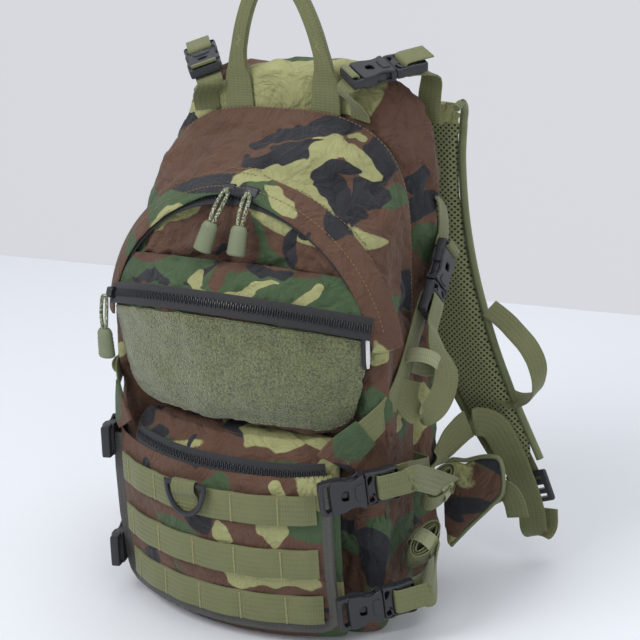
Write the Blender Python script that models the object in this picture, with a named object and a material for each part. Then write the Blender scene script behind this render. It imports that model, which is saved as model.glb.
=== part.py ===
"""Hydration pack: a small padded backpack with a reservoir sleeve, pockets, webbing and buckles.

Run with blender --background --python part.py. Lengths here are millimetres and are turned into
metres when a mesh is made. +X is the right-hand side seen from the front, -Y is the front,
+Y is the wearer's side, and Z is up from the surface that the pack stands on.
"""

import math

import bmesh
import bpy
from mathutils import Matrix, Vector

UNIT = 0.001
GAP = 0.3
WEBBING_WIDTH = 25.0
WEBBING_THICK = 1.6
X_AXIS = Vector((1, 0, 0))
Y_AXIS = Vector((0, 1, 0))
SIDES = (("left", -1), ("right", 1))

# Reservoir sleeve: the flat compartment against the wearer's back.
SLEEVE_SHOULDER = 320.0
# Its outline from front to back, as (y, half width, top, squareness, bottom).
SLEEVE_STATIONS = (
    (30.0, 97.0, 425.0, 2.6, 12.0),
    (42.0, 110.0, 437.0, 2.9, 0.0),
    (64.0, 116.0, 437.0, 3.8, 0.0),
    (76.0, 106.0, 425.0, 4.4, 12.0),
)
SLEEVE_FRONT = 30.0
SLEEVE_BACK = 76.0
SLEEVE_WALL = 4.0
CAVITY_HALF_WIDTH = 88.0
CAVITY_TOP = 416.0
BACK_PAD_THICK = 8.0

# Main compartment: its outline at stations from back to front, as
# (y, half width, height where the sides start to curve in, top, squareness of the top).
MAIN_STATIONS = (
    (29.0, 111.0, 300.0, 404.0, 3.1),
    (6.0, 114.0, 280.0, 393.0, 2.8),
    (-20.0, 118.0, 252.0, 373.0, 2.4),
    (-44.0, 122.0, 228.0, 350.0, 2.0),
    (-48.5, 118.0, 227.0, 341.0, 2.05),
    (-52.0, 112.0, 225.0, 320.0, 2.1),
)
MAIN_FRONT = MAIN_STATIONS[-1][0]
ARCH_CENTRE = Vector((0, -44, 228))
ARCH_RADIUS = 122.0
ARCH_HALF_ANGLE = 75.0

# Front pocket: planar arcs, as (height at the middle, foremost y, half width, tilt of the arc's plane).
POCKET_LEVELS = (
    (172.0, -70.0, 91.0, 0.0),
    (184.0, -83.0, 100.0, 0.08),
    (200.0, -88.5, 107.0, 0.16),
    (225.0, -92.0, 112.5, 0.27),
    (252.0, -94.0, 116.0, 0.38),
    (264.0, -94.0, 117.0, 0.42),
    (277.0, -93.0, 117.0, 0.4545),
    (290.0, -86.0, 112.0, 0.45),
    (300.0, -73.0, 102.0, 0.45),
)
POCKET_ZIP_LEVEL = 6
HOOK_LOOP_HALF_WIDTHS = (0.0, 88.0, 102.0, 108.0, 111.0, 111.5)

# Lower pocket, front flap and webbing rows share one bulge: arcs about a vertical axis.
BULGE_CENTRE_Y = 89.0
BULGE_SHIFTS = ((0.0, 10.0), (33.0, 5.0), (74.0, 0.0), (120.0, -1.0), (150.0, 2.0), (166.0, 12.0))
LOWER_POCKET_RADIUS = 188.0
LOWER_POCKET_HALF_WIDTH = 95.0
LOWER_POCKET_TOP = 165.0
FLAP_RADIUS = 190.5
FLAP_THICK = 3.0
FLAP_HALF_ANGLE = 32.5
FLAP_TURN = -3.5
FLAP_BOTTOM = 14.0
FLAP_TOP = 148.0
ROW_RADIUS = 194.0
ROW_HALF_ANGLE = 28.5
ROW_TURN = -3.0
ROW_HEIGHTS = (("top", 121.0), ("middle", 75.0), ("bottom", 33.0))
# The webbing at the bag's foot is shorter than the rows.
BASE_HALF_ANGLE = 25.5
D_RING_X = -18.0

# Side-release buckle, in its own frame: x along the strap, y across it, z out from the pack.
BUCKLE_WIDTH = 28.0
BUCKLE_THICK = 10.0
BUCKLE_HALF = 32.0
BUCKLE_MOUTH = 4.0


def material(name, colour, roughness, metallic=0.0):
    """A Principled material of one colour."""
    made = bpy.data.materials.new(name)
    made.use_nodes = True
    shader = made.node_tree.nodes["Principled BSDF"]
    shader.inputs["Base Color"].default_value = (*colour, 1.0)
    shader.inputs["Roughness"].default_value = roughness
    shader.inputs["Metallic"].default_value = metallic
    return made


def place(name, mesh, finish, origin=(0, 0, 0), smooth_angle=40.0):
    """Puts a mesh, whose points are in metres about its origin, into the scene as a named object."""
    mesh.name = name
    obj = bpy.data.objects.new(name, mesh)
    bpy.context.scene.collection.objects.link(obj)
    obj.location = Vector(origin) * UNIT
    if not mesh.materials:
        mesh.materials.append(finish)
        mesh.shade_smooth()
        mesh.set_sharp_from_angle(angle=math.radians(smooth_angle))
    return obj


def solid(name, points, faces, finish, origin=(0, 0, 0)):
    """One closed object from points in millimetres and faces, with its normals pointing out."""
    shape = bmesh.new()
    corners = [shape.verts.new((Vector(p) - Vector(origin)) * UNIT) for p in points]
    for face in faces:
        shape.faces.new([corners[i] for i in face])
    bmesh.ops.recalc_face_normals(shape, faces=shape.faces)
    mesh = bpy.data.meshes.new(name)
    shape.to_mesh(mesh)
    shape.free()
    return place(name, mesh, finish, origin)


def loft(name, rings, finish, origin=(0, 0, 0)):
    """A closed solid through rings of equally many points, capped at both ends."""
    count = len(rings[0])
    points = [p for ring in rings for p in ring]
    faces = []
    for level in range(len(rings) - 1):
        for i in range(count):
            j = (i + 1) % count
            base = level * count
            faces.append((base + i, base + j, base + count + j, base + count + i))
    faces.append(tuple(range(count)))
    faces.append(tuple(range((len(rings) - 1) * count, len(rings) * count)))
    return solid(name, points, faces, finish, origin)


def smooth_path(points, steps):
    """A Catmull-Rom curve through the points, with that many steps between each two."""
    line = [Vector(p) for p in points]
    padded = [2 * line[0] - line[1], *line, 2 * line[-1] - line[-2]]
    made = []
    for i in range(1, len(padded) - 2):
        a, b, c, d = padded[i - 1 : i + 3]
        for k in range(steps):
            t = k / steps
            made.append(
                0.5
                * (
                    2 * b
                    + (c - a) * t
                    + (2 * a - 5 * b + 4 * c - d) * t * t
                    + (3 * b - a - 3 * c + d) * t**3
                )
            )
    made.append(line[-1])
    return made


def along(points, values, steps):
    """Vectors or numbers given at a path's points, spread over the smoothed path's points."""
    made = []
    for a, b in zip(values, values[1:]):
        made += [a + (b - a) * (k / steps) for k in range(steps)]
    made.append(values[-1])
    return made


def ribbon(name, line, across, finish, width=WEBBING_WIDTH, thick=WEBBING_THICK, origin=(0, 0, 0)):
    """A strap of rectangular section along a line; across holds its width direction at each point."""
    widths = width if isinstance(width, list) else [width] * len(line)
    thicks = thick if isinstance(thick, list) else [thick] * len(line)
    rings = []
    for i, point in enumerate(line):
        ahead = line[min(i + 1, len(line) - 1)] - line[max(i - 1, 0)]
        ahead.normalize()
        side = across[i] - ahead * across[i].dot(ahead)
        side.normalize()
        out = ahead.cross(side)
        w = side * (widths[i] / 2)
        t = out * (thicks[i] / 2)
        rings.append([point - w - t, point + w - t, point + w + t, point - w + t])
    return loft(name, rings, finish, origin)


def block(shape, low, high):
    """Adds a box between two corners, in millimetres, to a bmesh."""
    size = Vector(high) - Vector(low)
    middle = (Vector(high) + Vector(low)) / 2
    matrix = Matrix.Translation(middle * UNIT) @ Matrix.Diagonal((*(size * UNIT), 1.0))
    return bmesh.ops.create_cube(shape, size=1.0, matrix=matrix)["verts"]


def block_object(name, low, high, bevel=0.0):
    """A box as an object of its own, for a Boolean."""
    shape = bmesh.new()
    block(shape, low, high)
    if bevel:
        bmesh.ops.bevel(shape, geom=shape.edges[:], offset=bevel * UNIT, segments=1, affect="EDGES")
    mesh = bpy.data.meshes.new(name)
    shape.to_mesh(mesh)
    shape.free()
    obj = bpy.data.objects.new(name, mesh)
    bpy.context.scene.collection.objects.link(obj)
    return obj


def carved(base, others, operation="DIFFERENCE"):
    """The mesh left when the other objects are cut from the base, or joined to it; all are removed."""
    for other in others:
        modifier = base.modifiers.new("cut", "BOOLEAN")
        modifier.object = other
        modifier.operation = operation
    bpy.context.view_layer.update()
    graph = bpy.context.evaluated_depsgraph_get()
    mesh = bpy.data.meshes.new_from_object(base.evaluated_get(graph))
    for obj in (base, *others):
        bpy.data.objects.remove(obj)
    return mesh


def squared_arch(y, half_width, shoulder, top, squareness, bottom=0.0, steps=18, corner=16.0):
    """An outline in the plane of one y: flat bottom, straight sides and a superelliptic top."""
    ring = []
    for k in range(steps + 1):
        angle = math.pi * k / steps
        x = math.copysign(abs(math.cos(angle)) ** (2 / squareness), math.cos(angle)) * half_width
        z = shoulder + (top - shoulder) * math.sin(angle) ** (2 / squareness)
        ring.append(Vector((x, y, z)))
    for sign in (-1, 1):
        corners = []
        for k in range(4):
            angle = math.pi / 2 * k / 3
            x = half_width - corner * (1 - math.cos(angle))
            corners.append(Vector((sign * x, y, bottom + corner * (1 - math.sin(angle)))))
        ring += corners if sign < 0 else corners[::-1]
    return ring


# ---------------------------------------------------------------- compartments


def hydration_sleeve(cloth):
    """The hollow rear compartment, open through a slot along its top."""
    rings = []
    for y, half_width, top, squareness, bottom in SLEEVE_STATIONS:
        ring = squared_arch(y, half_width, SLEEVE_SHOULDER, top, squareness, bottom, corner=20.0)
        rings.append(flat_bottom(ring))
    outer = loft("sleeve_outer", rings, cloth)
    cavity = [
        squared_arch(y, CAVITY_HALF_WIDTH, SLEEVE_SHOULDER, CAVITY_TOP, 3.0, bottom=10.0)
        for y in (SLEEVE_FRONT + SLEEVE_WALL, SLEEVE_BACK - SLEEVE_WALL)
    ]
    inner = loft("sleeve_inner", cavity, cloth)
    slot = block_object("sleeve_slot", (-62, 50, 395), (62, 66, 450))
    mesh = carved(outer, [inner, slot])
    return place("hydration_sleeve", mesh, cloth)


def flat_bottom(ring):
    """A ring whose lowest points reach the ground, so that the pack stands on a flat face."""
    lowest = min(p.z for p in ring)
    return [Vector((p.x, p.y, 0.0 if p.z < lowest + 0.01 else p.z)) for p in ring]


def rounded_plate(name, half_width, low, high, front, back, corner, finish, segments=5):
    """An upright plate with round corners between two depths."""
    rings = []
    for y, inset in ((front, 2.5), (front + 2.5, 0.0), (back - 2.5, 0.0), (back, 2.5)):
        ring = []
        for cx, cz, start in ((1, 1, 0), (-1, 1, 90), (-1, -1, 180), (1, -1, 270)):
            for k in range(segments + 1):
                angle = math.radians(start + 90 * k / segments)
                middle_z = (high if cz > 0 else low) - cz * corner
                x = cx * (half_width - corner) + (corner - inset) * math.cos(angle)
                z = middle_z + (corner - inset) * math.sin(angle)
                ring.append(Vector((x, y, z)))
        rings.append(ring)
    return loft(name, rings, finish)


def reservoir(film, plastic):
    """The drinking reservoir, with its screw cap, standing inside the sleeve."""
    rounded_plate("hydration_reservoir", 84.0, 14.0, 330.0, 47.0, 68.0, 30.0, film)
    cap_y, cap_z, radius = 41.0, 270.0, 30.0
    shape = bmesh.new()
    turn = Matrix.Rotation(math.radians(90), 4, "X")
    bmesh.ops.create_cone(
        shape,
        cap_ends=True,
        segments=24,
        radius1=radius * UNIT,
        radius2=(radius - 2) * UNIT,
        depth=(47.0 - GAP - 35.0) * UNIT,
        matrix=turn,
    )
    mesh = bpy.data.meshes.new("cap")
    shape.to_mesh(mesh)
    shape.free()
    place("reservoir_cap", mesh, plastic, origin=(0, cap_y - GAP / 2, cap_z))


def main_compartment(cloth):
    """The main bag: a dome that falls forward from the sleeve to the arched zipper."""
    rings = [squared_arch(*station) for station in MAIN_STATIONS]
    loft("main_compartment", rings, cloth)


def pocket_arc(level, lift=0.0, half_width=None, steps=14):
    """Points of the front pocket's arc at a level, lifted off the surface by an amount."""
    z, front, widest, tilt = POCKET_LEVELS[level]
    back = MAIN_FRONT - GAP
    slope = math.hypot(1.0, tilt)
    rise = (back - front) * slope
    radius = (widest**2 + rise**2) / (2 * rise)
    out = Vector((0, -1, tilt)) / slope
    apex = Vector((0, front, z))
    centre = apex - out * radius
    reach = widest if half_width is None else half_width
    widest_angle = math.asin(min(1.0, reach / radius))
    points = []
    for k in range(steps + 1):
        angle = widest_angle * (2 * k / steps - 1)
        ray = X_AXIS * math.sin(angle) + out * math.cos(angle)
        points.append(centre + ray * (radius + lift))
    return points


def front_pocket(cloth, hook_loop):
    """The bulging front pocket and the field of hook-and-loop cloth over its face."""
    loft("front_pocket", [pocket_arc(level) for level in range(len(POCKET_LEVELS))], cloth)
    rings = []
    for level in range(1, len(HOOK_LOOP_HALF_WIDTHS)):
        half_width = HOOK_LOOP_HALF_WIDTHS[level]
        inner = pocket_arc(level, 1.0, half_width)
        outer = pocket_arc(level, 2.4, half_width)
        rings.append(inner + outer[::-1])
    loft("hook_loop_panel", rings, hook_loop)


def bulge_shift(z):
    """How far back the bulge's axis stands at a height."""
    for (z0, s0), (z1, s1) in zip(BULGE_SHIFTS, BULGE_SHIFTS[1:]):
        if z <= z1:
            return s0 + (s1 - s0) * (z - z0) / (z1 - z0)
    return BULGE_SHIFTS[-1][1]


def bulge_point(degrees, radius, z):
    """A point on the lower front's bulge, at an angle from straight ahead."""
    angle = math.radians(degrees)
    y = BULGE_CENTRE_Y + bulge_shift(z) - radius * math.cos(angle)
    return Vector((radius * math.sin(angle), y, z))


def bulge_levels(low, high):
    """The heights between two limits at which the bulge's profile has a corner."""
    return [low, *[z for z, _ in BULGE_SHIFTS if low + 1 < z < high - 1], high]


def bulge_shell(name, radius, thick, half_angle, low, high, finish, turn=0.0):
    """A curved panel that lies on the bulge, between two heights."""
    rings = []
    steps = 14
    for z in bulge_levels(low, high):
        turns = [turn + half_angle * (2 * k / steps - 1) for k in range(steps + 1)]
        inner = [bulge_point(a, radius, z) for a in turns]
        outer = [bulge_point(a, radius + thick, z) for a in turns[::-1]]
        rings.append(inner + outer)
    return loft(name, rings, finish)


def lower_front(cloth, webbing):
    """The lower pocket, the flap over it and the webbing rows sewn to both."""
    rings = []
    half_angle = math.degrees(math.asin(LOWER_POCKET_HALF_WIDTH / LOWER_POCKET_RADIUS))
    for z in bulge_levels(0.0, LOWER_POCKET_TOP):
        ring = [bulge_point(half_angle * (k / 7 - 1), LOWER_POCKET_RADIUS, z) for k in range(15)]
        back = MAIN_FRONT - GAP
        ring.append(Vector((LOWER_POCKET_HALF_WIDTH, back, z)))
        ring.append(Vector((-LOWER_POCKET_HALF_WIDTH, back, z)))
        rings.append(ring)
    loft("lower_pocket", rings, cloth)
    bulge_shell(
        "front_flap",
        FLAP_RADIUS,
        FLAP_THICK,
        FLAP_HALF_ANGLE,
        FLAP_BOTTOM,
        FLAP_TOP,
        cloth,
        turn=FLAP_TURN,
    )
    half = WEBBING_WIDTH / 2
    for place_name, z in ROW_HEIGHTS:
        name = "flap_webbing_" + place_name
        bulge_shell(
            name,
            ROW_RADIUS,
            WEBBING_THICK,
            ROW_HALF_ANGLE,
            z - half,
            z + half,
            webbing,
            turn=ROW_TURN,
        )
    base_radius = LOWER_POCKET_RADIUS + GAP
    bulge_shell("base_webbing", base_radius, WEBBING_THICK, BASE_HALF_ANGLE, 2.0, 12.0, webbing)


# ---------------------------------------------------------------- zippers


def arch_frame(degrees):
    """The outward ray, and a point of the arched zipper's middle line, at an angle from its apex."""
    angle = math.radians(degrees)
    ray = Vector((math.sin(angle), 0, math.cos(angle)))
    return ray, ARCH_CENTRE + ray * ARCH_RADIUS


ARCH_OUT = Vector((0, -0.78, 0.62))


def arch_point(degrees, lift, slide=0.0):
    """A point off the arched zipper: lifted out of its tape, and slid across it towards the front."""
    ray, middle = arch_frame(degrees)
    out = ray * ARCH_OUT.z + Y_AXIS * ARCH_OUT.y
    across = ray * ARCH_OUT.y + -Y_AXIS * ARCH_OUT.z
    return middle + out * lift + across * slide, out, across


def pull_tube(name, line, finish, origin, cord_radius=2.2, grip_radius=4.6, grip_from=0.45):
    """A cord pull with a moulded grip on its lower end, as one turned body along a line."""
    count = 8
    total = len(line) - 1
    rings = []
    for i, point in enumerate(line):
        ahead = line[min(i + 1, total)] - line[max(i - 1, 0)]
        ahead.normalize()
        side = X_AXIS - ahead * X_AXIS.dot(ahead)
        side.normalize()
        out = ahead.cross(side)
        part = i / total
        radius = cord_radius
        if part > grip_from:
            radius = grip_radius * (0.85 if part > 0.97 else 1.0)
        ring = []
        for k in range(count):
            angle = 2 * math.pi * k / count
            ring.append(point + (side * math.cos(angle) + out * 0.75 * math.sin(angle)) * radius)
        rings.append(ring)
    return loft(name, rings, finish, origin)


def box_along(name, centre, ahead, out, size, finish, origin=None):
    """A bevelled block whose length runs along one direction and whose height points along another."""
    ahead = ahead.normalized()
    out = (out - ahead * out.dot(ahead)).normalized()
    side = out.cross(ahead)
    frame = Matrix((ahead, side, out)).transposed().to_4x4()
    half = Vector(size) / 2
    shape = bmesh.new()
    block(shape, -half, half)
    bmesh.ops.bevel(shape, geom=shape.edges[:], offset=1.0 * UNIT, segments=1, affect="EDGES")
    start = Vector(centre) if origin is None else Vector(origin)
    bmesh.ops.transform(shape, verts=shape.verts, matrix=frame)
    bmesh.ops.translate(shape, verts=shape.verts, vec=(Vector(centre) - start) * UNIT)
    mesh = bpy.data.meshes.new(name)
    shape.to_mesh(mesh)
    shape.free()
    return place(name, mesh, finish, origin=start)


def main_zip(tape, metal, cord):
    """The arched zipper, its two sliders near the apex, and their hanging cord pulls."""
    steps = 30
    line, across = [], []
    for k in range(steps + 1):
        degrees = ARCH_HALF_ANGLE * (2 * k / steps - 1)
        point, _, side = arch_point(degrees, 3.3)
        line.append(point)
        across.append(side)
    ribbon("main_zipper", line, across, tape, width=13.0, thick=2.0)
    for side_name, sign in SIDES:
        degrees = 4.5 * sign + 3.0
        centre, out, across_here = arch_point(degrees, 7.2)
        ahead = out.cross(across_here)
        name = "main_slider_" + side_name
        box_along(name, centre, ahead, out, (12.0, 9.0, 5.0), metal, origin=ARCH_CENTRE)
        start, _, _ = arch_point(degrees, 10.2, 7.0)
        end = start + Vector((sign * 5.0 - 8.0, -17.0, -41.0))
        middle = (start + end) / 2 + Vector((0, -2.5, 0))
        pull_tube("main_pull_" + side_name, smooth_path([start, middle, end], 6), cord, start)


def pocket_zip(tape, metal, cord):
    """The front pocket's zipper, with its slider at the left end and a hanging cord pull."""
    inner = pocket_arc(POCKET_ZIP_LEVEL, 2.4, 114.0, 18)
    direction = Vector((0, POCKET_LEVELS[POCKET_ZIP_LEVEL][3], 1)).normalized()
    ribbon("pocket_zipper", inner, [direction] * len(inner), tape, width=11.0, thick=1.6)
    stations = pocket_arc(POCKET_ZIP_LEVEL, 6.2, 110.0, 18)
    centre, ahead = stations[0], stations[1] - stations[0]
    out = ahead.cross(direction)
    axis_point = pocket_zip_axis()[0]
    box_along("pocket_slider", centre, ahead, out, (12.0, 9.0, 5.0), metal, origin=axis_point)
    start = centre + out.normalized() * 4.6 + Vector((0, 0, -7.5))
    line = smooth_path([start, start + Vector((-1.5, -3, -24)), start + Vector((-1, -3.5, -50))], 6)
    pull_tube("pocket_pull", line, cord, start)


def pocket_zip_axis():
    """A point on the axis that the pocket's slider turns about, and that axis's direction."""
    z, front, widest, tilt = POCKET_LEVELS[POCKET_ZIP_LEVEL]
    slope = math.hypot(1.0, tilt)
    rise = (MAIN_FRONT - GAP - front) * slope
    radius = (widest**2 + rise**2) / (2 * rise)
    out = Vector((0, -1, tilt)) / slope
    return Vector((0, front, z)) - out * radius, Vector((0, tilt, 1)) / slope


# ---------------------------------------------------------------- buckles and straps


def socket_mesh():
    """The buckle's socket: a rounded shell with a mouth, side windows, an oval window and a strap slot."""
    half = BUCKLE_WIDTH / 2
    body = block_object("socket", (-BUCKLE_HALF, -half, 0), (BUCKLE_MOUTH, half, BUCKLE_THICK), 2.2)
    cuts = [
        block_object("mouth", (-20, -11, 2.0), (BUCKLE_MOUTH + 1, 11, 8.0)),
        block_object("side_windows", (-15, -half - 1, 2.4), (-3, half + 1, 7.6)),
        block_object("top_window", (-14, -5, 5), (-4, 5, BUCKLE_THICK + 1)),
        block_object("strap_slot", (-28.5, -10.8, -1), (-23.5, 10.8, BUCKLE_THICK + 1)),
    ]
    return carved(body, cuts)


def plug_mesh():
    """The buckle's plug: two arms and a tongue on a plate with two strap slots."""
    half = BUCKLE_WIDTH / 2
    start = BUCKLE_MOUTH + 0.5
    plate = block_object("plug", (start, -half, 0.8), (BUCKLE_HALF, half, 9.2), 2.2)
    joined = [block_object("tongue", (-13, -3.4, 3.2), (start + 3, 3.4, 6.8), 0.6)]
    for sign in (-1, 1):
        low, high = sorted((sign * 6.6, sign * 10.6))
        joined.append(block_object("arm", (-15, low, 2.6), (start + 3, high, 7.4), 0.8))
    mesh = carved(plate, joined, "UNION")
    body = bpy.data.objects.new("plug_body", mesh)
    bpy.context.scene.collection.objects.link(body)
    cuts = [
        block_object("slot_near", (12, -10.8, -1), (16.5, 10.8, 11)),
        block_object("slot_far", (22, -10.8, -1), (26.5, 10.8, 11)),
    ]
    return carved(body, cuts)


def buckle_frame(start, end, outward):
    """The placing of a buckle whose socket end is at one point and whose plug end is at another."""
    middle = (Vector(start) + Vector(end)) / 2
    ahead = (Vector(end) - Vector(start)).normalized()
    out = (Vector(outward) - ahead * Vector(outward).dot(ahead)).normalized()
    frame = Matrix((ahead, out.cross(ahead), out)).transposed().to_4x4()
    frame.translation = middle
    return frame


def mirrored(point, sign):
    """The point on the pack's right side, or its mirror image on the left."""
    return Vector((point[0] * sign, point[1], point[2]))


def add_buckle(name, side_name, frame, meshes, plastic):
    """A socket and a plug, snapped together, at a placing."""
    for part, mesh in zip(("socket", "plug"), meshes):
        copy = mesh.copy()
        obj = place(f"{name}_buckle_{part}_{side_name}", copy, plastic, frame.translation)
        obj.rotation_euler = frame.to_euler()


def frame_point(frame, x, z=5.0):
    """A point of a buckle's own middle line, in the pack's frame."""
    return frame @ Vector((x, 0, z))


def buckles_and_straps(plastic, webbing):
    """All eight side-release buckles, with the straps on both sides of each."""
    meshes = (socket_mesh(), plug_mesh())
    for side_name, sign in SIDES:
        top_buckle(side_name, sign, meshes, plastic, webbing)
        side_buckle(side_name, sign, meshes, plastic, webbing)
        flap_buckle("flap_upper", side_name, sign, FLAP_UPPER, meshes, plastic, webbing)
        flap_buckle("flap_lower", side_name, sign, FLAP_LOWER, meshes, plastic, webbing)


def strap(name, points, across, sign, webbing, steps=5, width=WEBBING_WIDTH):
    """A strap through points given for the right-hand side, with its width direction at each."""
    line = smooth_path([mirrored(p, sign) for p in points], steps)
    sides = along(points, [mirrored(a, sign) for a in across], steps)
    return ribbon(name, line, sides, webbing, width=width)


def sewn_loop(frame):
    """A strap's end, as points from its far side inwards: round the socket's bar and back on itself."""
    route = ((-40, -1.2), (-32, -1.2), (-26.6, -0.9), (-26.0, 1.0), (-26.0, 9.2), (-27.5, 11.0), (-32, 11.0))
    return [frame_point(frame, x, z) for x, z in route]


def threaded(frame):
    """A strap's way through the plug, as points: under the plate, up its near slot and over the bars."""
    route = [(40, -1.2), (24, -1.2), (15.4, -0.9), (14.3, 0.8)]
    route += [(14.3, 9.0), (16.0, 10.6), (24, 10.8), (38, 10.8)]
    return [frame_point(frame, x, z) for x, z in route]


TOP_BUCKLE = ((66, 24, 427), (98, 66, 434))
SIDE_BUCKLE = ((121, 64, 296), (122.5, 20, 247))


def top_buckle(side_name, sign, meshes, plastic, webbing):
    """The strap that draws the pack's top to the shoulder strap."""
    frame = buckle_frame(*[mirrored(p, sign) for p in TOP_BUCKLE], mirrored((0.3, -0.1, 1), sign))
    add_buckle("top", side_name, frame, meshes, plastic)
    over = frame.col[1].to_3d() * sign
    seam = [mirrored(p, sign) for p in ((70, 26.8, 401), (68, 22.2, 411))]
    seam.append(frame_point(frame, -36, -6.0))
    flat = mirrored((0.98, 0, -0.2), sign)
    front = seam + sewn_loop(frame)[1:]
    fronts = [flat, flat * 0.7 - over * 0.3, flat * 0.2 - over * 0.8] + [-over] * 6
    ribbon("top_strap_front_" + side_name, front, fronts, webbing, width=20.0)
    yoke = [mirrored(p, sign) for p in ((103, 79, 398), (103.5, 80, 410), (105, 81.5, 421), (106, 79, 429))]
    level = mirrored((1, 0, 0), sign)
    rear = yoke + threaded(frame)[1:]
    rears = [level, level, level * 0.8 - over * 0.2, level * 0.3 - over * 0.7] + [-over] * 7
    ribbon("top_strap_rear_" + side_name, rear, rears, webbing, width=20.0, thick=1.4)


def side_buckle(side_name, sign, meshes, plastic, webbing):
    """The compression strap up the pack's side, with its slack tail hanging in a loop."""
    frame = buckle_frame(*[mirrored(p, sign) for p in SIDE_BUCKLE], mirrored((1, 0, 0), sign))
    add_buckle("side", side_name, frame, meshes, plastic)
    over = frame.col[1].to_3d()
    seam = [mirrored(p, sign) for p in ((116.6, 70, 326), (118.4, 72, 314))]
    ribbon(
        "side_strap_upper_" + side_name,
        seam + sewn_loop(frame),
        [over] * 9,
        webbing,
        width=20.0,
    )
    route = ((116.5, -62, 175), (124.4, -47, 187), (124.0, -30, 199), (122.8, -8, 217))
    lower = [mirrored(p, sign) for p in route]
    through = threaded(frame)
    tail = [mirrored(p, sign) for p in ((139, 8, 226), (149, 0, 208), (145, -14, 192), (133, -24, 196))]
    line = smooth_path(lower + [through[0]], 3) + through[1:]
    line += smooth_path([through[-1], *tail], 4)[1:]
    ribbon("side_strap_lower_" + side_name, line, [over] * len(line), webbing, width=20.0, thick=1.4)


# A flap buckle's socket end and plug end, the point where its strap is sewn to the pack's side, and
# the middle of its rolled tail, all given as on the right-hand side. The flap wraps further round
# the left-hand side, so its buckles there lie along the side.
FLAP_UPPER = {
    "left": ((112, -80, 139), (130, -22, 136), (124, 40, 122), (142, 14, 112)),
    "right": ((90, -97, 136), (134, -50, 142), (124, 26, 118), (141, 8, 112)),
}
FLAP_LOWER = {
    "left": ((112, -80, 40), (130, -22, 38), (124, 40, 42), (141, 6, 68)),
    "right": ((98, -88, 37), (141, -41, 43), (124, 30, 44), (138, -14, 71)),
}
FLAP_OUTWARD = {"left": (0.95, -0.3, 0), "right": (0.73, -0.68, 0)}


def flap_buckle(name, side_name, sign, spots, meshes, plastic, webbing):
    """A flap buckle; its strap runs to the pack's side, and the strap's tail is rolled up beside it."""
    start, end, seam, roll = [mirrored(p, sign) for p in spots[side_name]]
    outward = mirrored(FLAP_OUTWARD[side_name], sign)
    frame = buckle_frame(start, end, outward)
    add_buckle(name, side_name, frame, meshes, plastic)
    turns, half_length, half_thick = 2.25, 15.0, 3.2
    steps = 26
    spiral = []
    for k in range(steps + 1):
        angle = 2 * math.pi * turns * k / steps
        grow = 3.1 * angle / (2 * math.pi)
        x = roll.x - sign * (half_thick + grow) * math.sin(angle)
        y = roll.y + (half_length + grow) * math.cos(angle)
        spiral.append(Vector((x, y, roll.z)))
    spiral.reverse()
    through = threaded(frame)
    middle = (through[0] + seam) / 2 + mirrored((3, 0, 0), sign)
    line = smooth_path([seam, middle, through[0]], 4) + through[1:]
    line += smooth_path([through[-1], frame_point(frame, 46, 9.0), spiral[0]], 4)[1:] + spiral[1:]
    upright = frame.col[1].to_3d()
    across = [upright] * len(line)
    ribbon(f"{name}_strap_{side_name}", line, across, webbing, width=20.0, thick=1.4)


# ---------------------------------------------------------------- handle, D-ring and harness


def carry_handle(webbing):
    """Two flat legs sewn into the seam, folded narrow into an arch above."""
    right = [
        (39, 28.0, 406),
        (39.5, 28.0, 424),
        (38, 27.0, 446),
        (31, 26, 470),
        (22, 25, 490),
        (11, 24.5, 503),
        (0, 24.5, 507),
    ]
    left = [(-x, y, z) for x, y, z in right[-2::-1]]
    points = right + left
    widths = [25.0, 23.0, 16.0, 11.5, 11.0, 11.0, 11.0]
    thicks = [2.0, 2.0, 4.0, 6.0, 7.0, 7.0, 7.0]
    steps = 4
    line = smooth_path(points, steps)
    across = []
    for i in range(len(line)):
        ahead = line[min(i + 1, len(line) - 1)] - line[max(i - 1, 0)]
        across.append(ahead.cross(Y_AXIS).normalized())
    width = along(points, widths + widths[-2::-1], steps)
    thick = along(points, thicks + thicks[-2::-1], steps)
    ribbon("carry_handle", line, across, webbing, width=width, thick=thick, origin=(0, 28, 407))


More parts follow.
